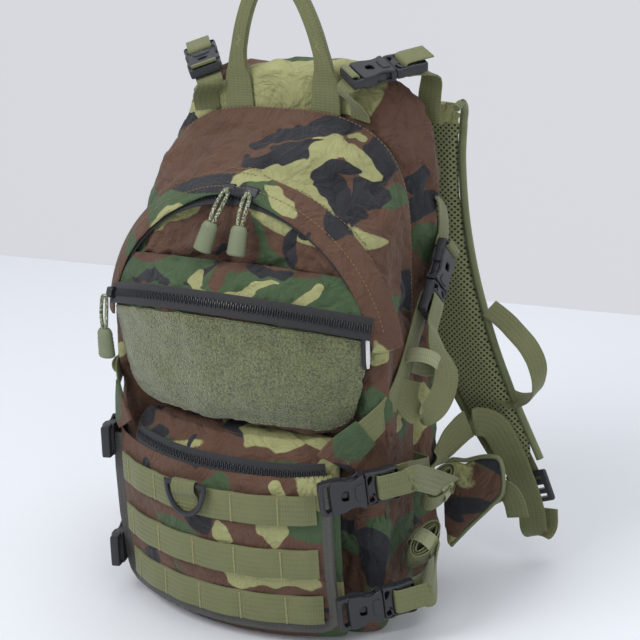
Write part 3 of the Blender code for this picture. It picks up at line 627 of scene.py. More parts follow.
def wrinkled(obj, amount, scale, seed, stretch=(1, 1, 1), mask=None, crease=0.0):
    """Moves a mesh's points along their normals by smooth noise, with narrow creases.

    mask(x, y, z) weights it.
    """
    mesh = obj.data
    shift = Vector(seed)
    moves = []
    for vertex in mesh.vertices:
        p = vertex.co / UNIT
        where = Vector((p.x * stretch[0], p.y * stretch[1], p.z * stretch[2])) / scale + shift
        value = noise.noise(where) + 0.45 * noise.noise(where * 2.1 + shift)
        fold = 1 - min(1.0, abs(noise.noise(where * 1.25 + shift * 2.3)) * 6.0)
        value -= crease * fold * fold
        weight = mask(p.x, p.y, p.z) if mask else 1.0
        moves.append(vertex.normal * (value * amount * weight * UNIT))
    for vertex, move in zip(mesh.vertices, moves):
        vertex.co += move
    mesh.update()


def moved(obj, change):
    """Moves each point of a mesh as change(point, normal) says, in millimetres."""
    mesh = obj.data
    places = [change(v.co / UNIT, v.normal) for v in mesh.vertices]
    for vertex, place in zip(mesh.vertices, places):
        vertex.co = Vector(place) * UNIT
    mesh.update()


def applied(obj):
    """Applies every modifier of an object."""
    graph = bpy.context.evaluated_depsgraph_get()
    mesh = bpy.data.meshes.new_from_object(obj.evaluated_get(graph))
    obj.modifiers.clear()
    obj.data = mesh


def subdivided(obj, levels=1):
    modifier = obj.modifiers.new("subdivision", "SUBSURF")
    modifier.levels = modifier.render_levels = levels
    applied(obj)


def inflated(obj, voxel, pressure, cap, pinned=None, frames=20):
    """Swells a closed pad by cloth simulation, by at most cap; pinned(point) marks what stays put."""
    remesh = obj.modifiers.new("remesh", "REMESH")
    remesh.mode = "VOXEL"
    remesh.voxel_size = voxel * UNIT
    applied(obj)
    before = [v.co.copy() for v in obj.data.vertices]
    cloth = obj.modifiers.new("cloth", "CLOTH")
    settings = cloth.settings
    settings.use_pressure = True
    settings.uniform_pressure_force = pressure
    settings.effector_weights.gravity = 0.0
    settings.quality = 5
    settings.tension_stiffness = settings.compression_stiffness = 25.0
    settings.bending_stiffness = 0.6
    cloth.collision_settings.use_collision = False
    if pinned:
        group = obj.vertex_groups.new(name="pinned")
        group.add([v.index for v in obj.data.vertices if pinned(v.co / UNIT)], 1.0, "REPLACE")
        settings.vertex_group_mass = "pinned"
    cloth.point_cache.frame_start = 1
    cloth.point_cache.frame_end = frames
    scene = bpy.context.scene
    for number in range(1, frames + 1):
        scene.frame_set(number)
    applied(obj)
    scene.frame_set(1)
    obj.vertex_groups.clear()
    most = cap * UNIT
    for vertex, old in zip(obj.data.vertices, before):
        move = vertex.co - old
        if move.length > most:
            vertex.co = old + move.normalized() * most
    subdivided(obj)


# ---------------------------------------------------------------- the bag's soft compartments


# The larger shapes of the print on the panels seen most: (colour, middle, radii, turn). The print is
# read as it falls on the front, so most shapes run right through their panel from front to back.
DEEP = 70
MAIN_PATCHES = (
    (BLACK, (40, 0, 393), (38, DEEP, 7), 4),
    (BLACK, (8, 0, 385), (20, DEEP, 3.5), 8),
    (BLACK, (60, 0, 398), (14, DEEP, 6), -20),
    (BLACK, (95, 0, 377), (11, DEEP, 24), 25),
    (BLACK, (30, 0, 376), (42, DEEP, 7), 10),
    (TAN, (14, 0, 363), (38, DEEP, 6), 12),
    (TAN, (60, 0, 379), (17, DEEP, 6.5), 35),
    (TAN, (84, 0, 374), (23, DEEP, 8.5), -38),
    (BLACK, (70, 0, 366), (18, DEEP, 7), 5),
    (BLACK, (92, 0, 350), (14, DEEP, 9), -35),
    (TAN, (42, 0, 350), (20, DEEP, 7), -25),
    (BLACK, (74, 0, 346), (30, DEEP, 7), -38),
    (TAN, (-56, 0, 329), (38, DEEP, 11), 24),
    (GREEN, (-98, 0, 300), (16, DEEP, 18), 30),
    (BLACK, (51, 0, 320), (12, DEEP, 26), -8),
    (BLACK, (63, 0, 330), (10, DEEP, 5), -20),
    (BLACK, (-8, 0, 309), (22, DEEP, 5), 42),
    (GREEN, (112, -55, 193), (16, 26, 13), 0),
    (BLACK, (98, -50, 163), (17, 22, 5), 6),
    (TAN, (117, -14, 185), (10, 14, 17), 0),
    (TAN, (117, -42, 246), (12, 10, 20), 0),
    (GREEN, (117, 2, 160), (12, 16, 14), 0),
    (BLACK, (117, 16, 262), (12, 14, 20), 0),
    (GREEN, (116, -38, 100), (12, 10, 22), 0),
    (BLACK, (112, -50, 70), (14, 8, 40), 0),
)
SLEEVE_PATCHES = (
    (TAN, (6, 30, 412), (26, 14, 5), 0),
    (TAN, (20, 31, 423), (13, 14, 7), 30),
    (TAN, (-94, 40, 395), (12, 20, 6), 25),
    (BLACK, (-99, 40, 382), (14, 20, 8), 20),
    (GREEN, (-109, 40, 360), (12, 24, 18), 0),
    (BLACK, (112, 46, 350), (12, 16, 12), 0),
    (GREEN, (114, 50, 300), (10, 16, 20), 0),
    (TAN, (110, 40, 160), (12, 16, 22), 0),
    (GREEN, (110, 45, 110), (12, 18, 24), 0),
)
POCKET_PATCHES = (
    (GREEN, (55, -78, 287), (58, 30, 11), 0),
    (GREEN, (-42, -75, 297), (17, 20, 6), 0),
    (GREEN, (-15, -82, 285), (50, 16, 5), 3),
    (BLACK, (-68, -78, 283), (38, 18, 4), 8),
    (BLACK, (-16, -76, 296), (16, 20, 3.5), 42),
    (BLACK, (40, -70, 300), (18, 14, 5), 0),
    (TAN, (12, -84, 283), (30, 18, 6), 2),
    (TAN, (-19, -80, 291), (6, 18, 9), 24),
    (TAN, (38, -80, 288), (13, 18, 4), 28),
    (TAN, (71, -76, 283), (20, 16, 4.5), 30),
    (GREEN, (-110, -60, 215), (14, 24, 18), 0),
)
LOWER_PATCHES = (
    (BLACK, (-84, -68, 163), (12, 22, 9), 0),
    (BLACK, (-62, -80, 160), (8, 12, 7), 0),
    (TAN, (36, -72, 166), (32, 20, 10), 0),
    (TAN, (91, -66, 151), (20, 16, 9), 10),
    (BLACK, (-26, -90, 157), (3, 12, 6), 0),
    (BLACK, (98, -60, 70), (6, 8, 30), 0),
    (GREEN, (96, -68, 118), (8, 8, 9), 0),
    (TAN, (92, -72, 48), (8, 10, 8), 0),
)
WING_PATCHES = (
    (GREEN, (112, -66, 176), (22, 30, 20), 0),
    (GREEN, (-112, -66, 176), (22, 30, 20), 0),
    (BLACK, (94, -80, 150), (16, 20, 7), 0),
)
FLAP_PATCHES = (
    (BLACK, (-68, -90, 127), (9, DEEP, 12), 0),
    (BLACK, (-12, -90, 98), (13, DEEP, 10), -20),
    (BLACK, (-73, -90, 54), (9, DEEP, 11), 0),
    (GREEN, (4, -90, 131), (10, DEEP, 10), -35),
    (TAN, (52, -90, 138), (8, DEEP, 9), 0),
    (TAN, (12, -90, 94), (11, DEEP, 9), 0),
    (TAN, (49, -90, 102), (9, DEEP, 13), 0),
    (TAN, (40, -90, 61), (43, DEEP, 12), -4),
    (GREEN, (-18, -90, 20), (18, DEEP, 8), 0),
    (TAN, (18, -90, 27), (8, DEEP, 9), 0),
    (BLACK, (76, -90, 33), (22, DEEP, 4), 4),
)


def squared_arch(y, half_width, shoulder, top, squareness, bottom=0.0, corner=16.0, count=132):
    """An even outline in the plane of one y: flat bottom, straight sides and a superelliptic top."""
    ring = []
    for k in range(49):
        angle = math.pi * k / 48
        x = math.copysign(abs(math.cos(angle)) ** (2 / squareness), math.cos(angle)) * half_width
        z = shoulder + (top - shoulder) * math.sin(angle) ** (2 / squareness)
        ring.append((x, y, z))
    for sign in (-1, 1):
        corners = []
        for k in range(5):
            angle = math.pi / 2 * k / 4
            x = half_width - corner * (1 - math.cos(angle))
            corners.append((sign * x, y, bottom + corner * (1 - math.sin(angle))))
        ring += corners if sign < 0 else corners[::-1]
    ring.append(ring[0])
    around = sum((Vector(a) - Vector(b)).length for a, b in zip(ring, ring[1:]))
    return resampled(ring, around / count)[:count]


def tapered_base(point, low=0.965, high=210.0):
    """Draws a point in a little towards the bag's base."""
    if point.z >= high:
        return point
    part = 1 - point.z / high
    return Vector((point.x * (1 - (1 - low) * part), point.y, point.z))


# Outline of the dome from back to front: (y, half width, shoulder, top, squareness).
MAIN_STATIONS = (
    (28.6, 110.5, 300.0, 403.0, 3.1), (24.0, 112.5, 297.0, 403.5, 3.0),
    (6.0, 115.0, 280.0, 395.5, 2.7), (-20.0, 119.0, 252.0, 376.0, 2.35),
    (-36.0, 123.5, 235.0, 362.0, 2.08), (-43.0, 125.5, 228.5, 355.0, 2.0),
    (-46.0, 123.5, 228.0, 351.5, 2.0), (-50.0, 117.0, 227.5, 344.5, 2.03),
    (-55.0, 108.0, 227.0, 333.0, 2.08), (-59.5, 96.0, 226.0, 316.0, 2.1),
    (-62.0, 78.0, 225.0, 294.0, 2.1),
)
# The dome's face is held back to here where the pockets lie on it.
FRONT_LIMIT = -51.8


def eased(value, low, high):
    """0 below low, 1 above high, and a smooth rise between."""
    part = min(1.0, max(0.0, (value - low) / (high - low)))
    return part * part * (3 - 2 * part)


def main_bag():
    """The main compartment: a dome that sags forward, with gathers under its arched zipper."""
    rings = [squared_arch(*station) for station in smooth_path(MAIN_STATIONS, 4)]
    obj = loft("main_bag", rings)

    def settle(p, n):
        if p.y < FRONT_LIMIT:
            p = Vector((p.x, max(p.y, FRONT_LIMIT - 9.5 * eased(p.z, 288, 312)), p.z))
        p = tapered_base(p)
        angle = math.atan2(p.x, p.z - ARCH_CENTRE.z)
        distance = math.hypot(p.x, p.z - ARCH_CENTRE.z)
        if p.y < -40:
            below = eased(ARCH_RADIUS - distance, 6, 16) * (1 - eased(ARCH_RADIUS - distance, 34, 62))
            gathers = math.sin(angle * 33 + 2.5 * noise.noise(p * 0.03)) * 2.3 * below
            p = p + Vector((0, -1, 0.35)) * gathers
        elif p.z > 240:
            sag = 3.2 * math.exp(-(((p.y + 4) / 20) ** 2)) * math.exp(-(((p.x + 30) / 52) ** 2))
            p = p - Vector((0, -0.3, 0.95)) * sag
        return p

    moved(obj, settle)

    def loose(x, y, z):
        """How freely the cloth wrinkles: little at the floor, the back seam and the arched zipper."""
        off = (math.hypot(x, z - ARCH_CENTRE.z) - ARCH_RADIUS) / 11
        held = 0.85 * math.exp(-off * off) if y < -25 and z > 200 else 0.0
        return min(1, z / 30) * eased(-y, -27, -12) * (1 - held)

    wrinkled(obj, 8.0, 50.0, (3.3, 1.1, 7.9), (0.7, 1.3, 1.0), loose, 0.45)
    subdivided(obj)
    wrinkled(obj, 3.6, 23.0, (9.3, 4.1, 2.9), (1.0, 1.0, 1.0), loose, 0.8)
    return camouflaged(obj, "main", (0.31, 0.12, 0.05), (0, 6, 0), MAIN_PATCHES, "main_compartment")


# Outline of the sleeve from front to back: (y, half width, top, squareness, bottom).
SLEEVE_STATIONS = (
    (30.2, 97.0, 425.0, 2.6, 12.0), (33.0, 103.5, 432.0, 2.7, 6.0), (42.0, 110.5, 437.5, 2.9, 0.0),
    (53.0, 114.0, 438.5, 3.3, 0.0), (64.0, 116.0, 437.5, 3.8, 0.0), (71.0, 113.0, 433.0, 4.1, 4.0),
    (75.9, 105.0, 424.0, 4.4, 12.0),
)


def sleeve_bag():
    """The reservoir sleeve: a soft hump behind the dome; the opening at its top seam is left closed."""
    rings = []
    for y, half_width, top, squareness, bottom in smooth_path(SLEEVE_STATIONS, 3):
        rings.append(squared_arch(y, half_width, 320.0, top, squareness, max(0.0, bottom), corner=20.0))
    obj = loft("sleeve_bag", rings)

    def settle(p, n):
        dip = 3.5 * math.exp(-(((p.x + 62) / 26) ** 2)) + 2.5 * math.exp(-(((p.x - 70) / 26) ** 2))
        if p.z > 330:
            p = p - Vector((0, 0, dip * eased(p.z, 330, 420)))
        return tapered_base(p, 0.97, 260)

    moved(obj, settle)

    def loose(x, y, z):
        return min(1, z / 30)

    wrinkled(obj, 6.0, 44.0, (5.3, 8.1, 1.9), (0.8, 1.6, 1.2), loose, 0.4)
    subdivided(obj)
    wrinkled(obj, 2.6, 20.0, (2.3, 6.1, 4.9), (1, 1, 1), loose, 0.8)
    camouflaged(obj, "sleeve", (0.11, 0.42, 0.23), (0, -8, 0), SLEEVE_PATCHES, "hydration_sleeve")


# Front pocket: planar arcs, as (height at the middle, foremost y, half width, tilt of the arc's plane).
POCKET_LEVELS = (
    (171.0, -62.0, 87.0, 0.0), (174.0, -72.0, 91.5, 0.02), (184.0, -82.5, 100.0, 0.08),
    (200.0, -88.5, 107.0, 0.16), (225.0, -92.5, 113.0, 0.27), (252.0, -94.0, 117.0, 0.38),
    (264.0, -94.0, 118.0, 0.42), (277.0, -93.0, 118.0, 0.4545), (289.0, -85.5, 113.0, 0.45),
    (299.0, -73.0, 103.0, 0.45), (302.0, -62.0, 96.0, 0.45),
)
POCKET_BACK = -52.3
ZIP_LEVEL = 7


def pocket_arc(z, front, widest, tilt, lift=0.0, reach=None, steps=44):
    """Points of the front pocket's arc at one height, from left to right."""
    slope = math.hypot(1.0, tilt)
    rise = (POCKET_BACK - front) * slope
    radius = (widest**2 + rise**2) / (2 * rise)
    out = Vector((0, -1, tilt)) / slope
    centre = Vector((0, front, z)) - out * radius
    limit = math.asin(min(1.0, (widest if reach is None else reach) / radius))
    made = []
    for k in range(steps + 1):
        angle = limit * (2 * k / steps - 1)
        made.append(centre + (X_AXIS * math.sin(angle) + out * math.cos(angle)) * (radius + lift))
    return made


def front_pocket_bag():
    """The bulging front pocket."""
    rings = [pocket_arc(*level) for level in smooth_path(POCKET_LEVELS, 4)]
    obj = loft("front_pocket_bag", rings)

    def loose(x, y, z):
        return eased(-y, 53, 60)

    wrinkled(obj, 4.2, 44.0, (1.3, 2.1, 4.9), (0.8, 1.0, 1.3), loose, 0.3)
    subdivided(obj)
    wrinkled(obj, 1.8, 19.0, (6.3, 2.7, 1.9), (1.0, 1.0, 1.0), loose, 0.8)
    return camouflaged(obj, "pocket", (0.52, 0.31, 0.11), (0, 3, 0), POCKET_PATCHES, "front_pocket")


# The hook-and-loop field's half width at each height, and how its face and its back lie on the cloth.
PILE_LEVELS = (
    (180.0, 82.0), (182.5, 89.0), (189.0, 98.0), (200.0, 105.0), (225.0, 111.0), (252.0, 114.5),
    (267.0, 115.5),
)
PILE_RISE, PILE_SINK = 1.7, -0.8


def pile_panel(surface):
    """The field of hook-and-loop cloth on the pocket's face, laid on it with a thin raised edge."""
    rings, backs = [], []
    for z, half in smooth_path(PILE_LEVELS, 5):
        part = np.interp(z, [level[0] for level in POCKET_LEVELS], range(len(POCKET_LEVELS)))
        low = int(min(part, len(POCKET_LEVELS) - 2))
        below, above = (np.array(level) for level in POCKET_LEVELS[low : low + 2])
        level = below * (1 - part + low) + above * (part - low)
        arc = pocket_arc(*level, reach=half, steps=56)
        rings.append([surface.near(p, PILE_RISE)[0] for p in arc])
        backs.append([surface.near(p, PILE_SINK)[0] for p in arc])
    count = len(rings[0])
    points = [p for ring in rings for p in ring] + [p for ring in backs for p in ring]
    offset = len(rings) * count
    faces = []
    for r in range(len(rings) - 1):
        for k in range(count - 1):
            a = r * count + k
            faces.append((a, a + 1, a + count + 1, a + count))
            b = a + offset
            faces.append((b, b + count, b + count + 1, b + 1))
    rim = list(range(count)) + [r * count + count - 1 for r in range(1, len(rings))]
    rim += [(len(rings) - 1) * count + k for k in range(count - 2, -1, -1)]
    rim += [r * count for r in range(len(rings) - 2, 0, -1)]
    for a, b in zip(rim, rim[1:] + rim[:1]):
        faces.append((a, b, b + offset, a + offset))
    obj = mesh_object("hook_loop_field", points, faces)
    wrinkled(obj, 0.35, 5.0, (2, 3, 4))
    finish_piece(obj, PILE, "root", ["hook_loop_panel"], 60)
    # The line of its stitches, a little inside the edge.
    centre = Vector((0, -90, 225))
    return [points[i] + (centre - points[i]).normalized() * 2.6 for i in rim + rim[:1]]


# The lower front bulges round an upright line; its shifts, as (height, how far back the line moves).
BULGE_CENTRE_Y = 89.0
LOWER_RADIUS = 188.0
LOWER_HALF_WIDTH = 95.0
BULGE_SHIFTS = ((0.0, 10.0), (33.0, 5.0), (74.0, 0.0), (120.0, -1.0), (150.0, 2.0), (166.0, 12.0))


def bulge_point(degrees, radius, z):
    """A point on the lower front's bulge, at an angle from straight ahead."""
    angle = math.radians(degrees)
    shift = float(np.interp(z, [s[0] for s in BULGE_SHIFTS], [s[1] for s in BULGE_SHIFTS]))
    return Vector((radius * math.sin(angle), BULGE_CENTRE_Y + shift - radius * math.cos(angle), z))


def lower_pocket_bag():
    """The lower pocket, with a pleated top between its zipper and the pocket above."""
    rings = []
    sides = [0, 3, 8, 14, 22, 32, 44, 56, 68, 80, 92, 104, 116, 128, 138, 146, 152, 157, 161, 164, 166]
    levels = [(z, 4.5 * eased(z, 158, 166) + 2.0 * (1 - eased(z, 0, 8))) for z in sides]
    # The top's fold: a ridge, a groove and the crown behind it.
    levels += [(168.0, 7.0), (168.6, 10.0), (165.8, 12.0), (165.6, 13.5)]
    levels += [(169.0, 16.0), (170.0, 20.0), (169.5, 28.0)]
    for z, tuck in levels:
        wide = LOWER_HALF_WIDTH - tuck
        half = math.degrees(math.asin(wide / LOWER_RADIUS))
        ring = [bulge_point(half * (k / 28 - 1), LOWER_RADIUS - tuck, float(z)) for k in range(57)]
        ring += [Vector((wide, POCKET_BACK, z)), Vector((-wide, POCKET_BACK, z))]
        rings.append(ring)
    obj = loft("lower_pocket_bag", rings)

    def loose(x, y, z):
        return eased(z, 2, 30) * eased(-y, 52, 60) * (0.35 + eased(z, 145, 155))

    wrinkled(obj, 1.9, 27.0, (2.3, 7.1, 3.9), (1.3, 1.0, 0.7), loose, 0.7)
    subdivided(obj)
    camouflaged(obj, "lower", (0.22, 0.71, 0.14), (0, 12, 0), LOWER_PATCHES, "lower_pocket")


FLAP_TURN, FLAP_HALF_ANGLE, FLAP_BOTTOM, FLAP_TOP = -3.5, 32.5, 14.0, 147.0
# Its faces' and its binding's distances from the bulge's line.
FLAP_BACK, FLAP_FRONT, FLAP_SWELL, FLAP_RIM = 190.9, 191.9, 2.1, 194.6


def flap_panel():
    """The front flap: a padded panel with a bound edge that lies on the lower pocket."""
    rows, columns = 34, 64
    rings = []
    for r in range(rows + 1):
        z = FLAP_BOTTOM + (FLAP_TOP - FLAP_BOTTOM) * r / rows
        front, back = [], []
        for k in range(columns + 1):
            turn = FLAP_TURN + FLAP_HALF_ANGLE * (2 * k / columns - 1)
            across = abs(2 * k / columns - 1)
            rim = eased(1 - across, 0.0, 0.06) * eased(min(r, rows - r) / rows, 0.0, 0.05)
            droop = -2.2 * (1 - across**2) * (r / rows) ** 2
            front.append(bulge_point(turn, FLAP_FRONT + FLAP_SWELL * rim, z + droop))
            back.append(bulge_point(turn, FLAP_BACK, z + droop))
        rings.append(front + back[::-1])
    obj = loft("front_flap_panel", rings)
    wrinkled(obj, 0.9, 24.0, (4.3, 1.1, 5.9), (1.0, 1.0, 1.6), crease=0.6)
    camouflaged(obj, "flap", (0.67, 0.05, 0.49), (0, -5, 0), FLAP_PATCHES, "front_flap", "flap")
    line = [bulge_point(turn, FLAP_RIM, z) for turn, z in flap_rim()]
    across = [a.cross(-Y_AXIS) for a in tangents(line)]
    ribbon("flap_binding", line, across, 9.0, 3.4, BINDING, "flap")


def flap_rim():
    """The flap's bound edge, down its left side, along its foot and up its right side."""
    left, right = FLAP_TURN - FLAP_HALF_ANGLE + 1.2, FLAP_TURN + FLAP_HALF_ANGLE - 1.2
    low, high = FLAP_BOTTOM + 3.5, FLAP_TOP - 3.0
    line = [(left, high), (left, 100.0), (left, 60.0), (left, low + 8), (left + 2.5, low)]
    line += [(left + (right - left) * k / 12, low - 1.5) for k in range(1, 12)]
    line += [(right - 2.5, low), (right, low + 8), (right, 60.0), (right, 100.0), (right, high)]
    return [tuple(p) for p in smooth_path(line, 3)]


# The webbing rows on the flap, each as long as this arc, and their bar tacks.
ROW_HALF_ANGLE, ROW_TURN = 28.5, -3.0
ROW_HEIGHTS = (("top", 121.0), ("middle", 75.0), ("bottom", 33.0))
ROW_RADIUS, ROW_FACE, TACK_FACE = 194.0, 195.4, 197.5
ROW_SAG = 2.0
TACK_PITCH = 38.0
TACK_START = -9.0


def webbing_row(name, z, node):
    """One webbing row, sewn down at its tacks and standing off a little between them."""
    line, across = [], []
    half = math.radians(ROW_HALF_ANGLE) * ROW_RADIUS
    count = 96
    for k in range(count + 1):
        run = half * (2 * k / count - 1)
        phase = (run - TACK_START) / TACK_PITCH
        stand = 1.3 * math.sin(math.pi * (phase - math.floor(phase))) ** 0.8
        stand *= eased(half - abs(run), 0, 10)
        drop = ROW_SAG * (1 - (run / half) ** 2) * z / FLAP_TOP
        line.append(bulge_point(ROW_TURN + math.degrees(run / ROW_RADIUS), ROW_FACE + stand, z - drop))
        across.append(Z_AXIS)
    return ribbon(name, line, across, WEBBING_WIDTH, 1.8, WEBBING, "flap", [node], 0.3)


def tack_rows(z):
    """Where a row's bar tacks are, as lines across the webbing."""
    half = math.radians(ROW_HALF_ANGLE) * ROW_RADIUS
    lines = []
    first = math.ceil((-half + 8 - TACK_START) / TACK_PITCH)
    last = math.floor((half - 6 - TACK_START) / TACK_PITCH)
    for k in range(first, last + 1):
        run = TACK_START + TACK_PITCH * k
        middle = z - ROW_SAG * (1 - (run / half) ** 2) * z / FLAP_TOP
        turn = ROW_TURN + math.degrees(run / ROW_RADIUS)
        lines.append([bulge_point(turn, TACK_FACE, middle + s * 11.5) for s in (-1, 1)])
    return lines


# ---------------------------------------------------------------- zippers


ZIP_HALF_ANGLE, COVER_HALF_ANGLE = 79, 84


def arch_point(degrees, lift=0.0, slide=0.0):
    """(a point off the arched zipper's line, its outward direction)."""
    angle = math.radians(degrees)
    ray = Vector((math.sin(angle), 0, math.cos(angle)))
    out = ray * 0.62 + Y_AXIS * -0.78
    across = ray * -0.78 + Y_AXIS * -0.62
    return ARCH_CENTRE + ray * ARCH_RADIUS + out * lift + across * slide, out


def zipper(name, line, outs, body, node, width=9.0, gap=2.2, tooth=4.6, pitch=1.7):
    """Two tapes and the coil between them; outs are the outward directions along the line."""
    line = vectors(line)
    ahead = tangents(line)
    sides = [o.cross(a).normalized() for o, a in zip(outs, ahead)]
    for sign in (-1, 1):
        middle = [p + s * sign * (width / 2 + gap / 2) for p, s in zip(line, sides)]
        nodes = [node] if sign > 0 else ()
        tape = f"{name}_tape_{'ab'[sign > 0]}"
        ribbon(tape, middle, sides, width, 1.0, TAPE, body, nodes)
    even = resampled(line, pitch)
    frames = []
    marks = np.linspace(0, len(line) - 1, len(even))
    for i, p in enumerate(even):
        k = int(min(marks[i], len(line) - 2))
        out = outs[k]
        shift = 0.55 if i % 2 else -0.55
        frames.append((p + out * 1.0 + sides[k] * shift, sides[k], out))
    blocks(name + "_coil", frames, (tooth, 1.15, 2.0), COIL, body)


def main_zip():
    """The arched zipper with its rain flap."""
    line, outs = [], []
    for k in range(91):
        degrees = ZIP_HALF_ANGLE * (2 * k / 90 - 1)
        p, out = arch_point(degrees, 1.6, 7.0)
        line.append(p)
        outs.append(out)
    zipper("main_zip", line, outs, "root", "main_zipper", width=6.0)
    count = 92
    rings = []
    for k in range(count + 1):
        degrees = COVER_HALF_ANGLE * (2 * k / count - 1)
        open_part = math.exp(-(((degrees + 3) / 17) ** 2))
        ripple = 1.1 * noise.noise(Vector((degrees * 0.16, 1.7, 0)))
        reach = 13.5 - 5.0 * open_part
        rise = 5.2 + 2.6 * open_part + ripple
        profile = [(-13, 0.3), (-8, 2.4), (-2, 4.4)]
        profile += [(reach * 0.45, rise), (reach * 0.8, rise + 0.4), (reach, rise - 0.5)]
        ring = [arch_point(degrees, lift, slide)[0] for slide, lift in profile]
        ring += [arch_point(degrees, lift - 1.4, slide - 0.4)[0] for slide, lift in profile[::-1]]
        rings.append(ring)
    cover = loft("main_zip_rain_flap", rings)
    subdivided(cover)
    camouflaged(cover, "rain_flap", (0.78, 0.21, 0.35), (0, 15, 0), MAIN_PATCHES)
    return Surface(cover)


def pocket_zip():
    """The front pocket's wide black zipper."""
    level = POCKET_LEVELS[ZIP_LEVEL]
    arc = pocket_arc(*level, lift=2.6, reach=116.5, steps=60)
    up = Vector((0, level[3], 1)).normalized()
    outs = [ahead.cross(up).normalized() for ahead in tangents(arc)]
    shifted = [p + up * 0.5 for p in arc]
    zipper("pocket_zip", shifted, outs, "root", "pocket_zipper", width=7.5, tooth=5.2, pitch=1.9)


def lower_zip():
    """The zipper along the top of the lower pocket, half under the flap's edge."""
    line, outs = [], []
    for k in range(61):
        degrees = -26.5 + 54 * k / 60
        z = 152.0 - 2.6 * (1 - ((k - 30) / 30) ** 2) - 4.0 * eased(k, 30, 60)
        p = bulge_point(degrees, 190.4, z)
        line.append(p)
        angle = math.radians(degrees)
        outs.append(Vector((math.sin(angle), -math.cos(angle), 0.25)).normalized())
    zipper("lower_zip", line, outs, "root", "base_webbing", width=6.8, tooth=4.6, pitch=1.8)


def main_pull(side_name, sign):
    """The pull that hangs from a slider of the arched zipper."""
    low, high = (Vector(c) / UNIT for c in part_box("main_pull_" + side_name))
    degrees = 4.5 * sign + 3.0
    start = arch_point(degrees, 9.0, 9.0)[0]
    foot = Vector(((low.x + high.x) / 2 + sign * 3 - 3, low.y + 3, low.z + 2))
    cord_and_grip("main_pull_" + side_name, start, foot, Vector((0, -2.0, 1)))


# A grip's radius along its length, from the cord (0) to its foot (1).
GRIP_RADII = ((0, 4.6), (0.08, 6.6), (0.45, 7.2), (0.86, 7.6), (0.97, 7.2), (1, 5.6))


def cord_and_grip(name, start, foot, bend):
    """Two strands of cord into a moulded grip, hanging from start to foot."""
    ahead = (foot - start).normalized()
    side = ahead.cross(Y_AXIS).normalized()
    neck = start.lerp(foot, 0.54) + bend
    strands = []
    for sign in (-1, 1):
        half_way = start.lerp(neck, 0.5) + side * sign * 2.6 + bend * 0.5
        strands.append([start + side * sign * 2.2, half_way, neck + side * sign * 1.5])
    loop = strands[0][::-1] + [start - ahead * 3.0] + strands[1]
    tube(name + "_cord", smooth_path(loop, 7), 1.5, CORD, name, hint=Y_AXIS)
    line = smooth_path([neck - ahead * 2, neck.lerp(foot, 0.35), neck.lerp(foot, 0.75), foot], 6)
    marks, sizes = zip(*GRIP_RADII)
    radii = [float(r) for r in np.interp(np.linspace(0, 1, len(line)), marks, sizes)]
    ribbed = [r + (0.25 if k % 2 else -0.12) * (2 < k < len(radii) - 3) for k, r in enumerate(radii)]
    tube(name + "_grip", line, ribbed, GRIP, name, [name], 16, 0.66, side)


# ---------------------------------------------------------------- straps


# The buckles' places, as (socket end, plug end); the flap's go on with (strap's seam, its rolled tail).
TOP_BUCKLE = ((66, 24, 427), (98, 66, 434))
SIDE_BUCKLE = ((121, 64, 296), (122.5, 20, 247))
FLAP_UPPER = {
    "left": ((112, -80, 139), (130, -22, 136), (124, 40, 122), (142, 14, 112)),
    "right": ((90, -97, 136), (134, -50, 142), (124, 26, 118), (141, 8, 112)),
}
FLAP_LOWER = {
    "left": ((112, -80, 40), (130, -22, 38), (124, 40, 42), (141, 6, 68)),
    "right": ((98, -88, 37), (141, -41, 43), (124, 30, 44), (138, -14, 71)),
}
FLAP_BUCKLES = (("flap_upper", FLAP_UPPER), ("flap_lower", FLAP_LOWER))
TOP_OUTWARD, SIDE_OUTWARD = (0.3, -0.1, 1), (1, 0, 0)
FLAP_OUTWARD = {"left": (0.95, -0.3, 0), "right": (0.73, -0.68, 0)}


def mirrored(point, sign):
    return Vector((point[0] * sign, point[1], point[2]))


def mirrored_all(points, sign):
    return [mirrored(p, sign) for p in points]


def buckle_frame(start, end, outward):
    """The placing of a buckle from its socket end, its plug end and its outward side."""
    middle = (Vector(start) + Vector(end)) / 2
    ahead = (Vector(end) - Vector(start)).normalized()
    out = (Vector(outward) - ahead * Vector(outward).dot(ahead)).normalized()
    made = Matrix((ahead, out.cross(ahead), out)).transposed().to_4x4()
    made.translation = middle
    return made


def frame_point(placing, x, z):
    return placing @ Vector((x, 0, z))


def sewn_loop(placing):
    """Webbing's way round a socket's bar."""
    route = ((-40, -1.2), (-32, -1.2), (-26.6, -0.9), (-26.0, 1.0), (-26.0, 9.2), (-27.5, 11.0), (-32, 11.0))
    return [frame_point(placing, x, z) for x, z in route]


def threaded(placing):
    """Webbing's way through a plug's slots."""
    route = [(40, -1.2), (24, -1.2), (15.4, -0.9), (14.3, 0.8)]
    route += [(14.3, 9.0), (16.0, 10.6), (24, 10.8), (38, 10.8)]
    return [frame_point(placing, x, z) for x, z in route]


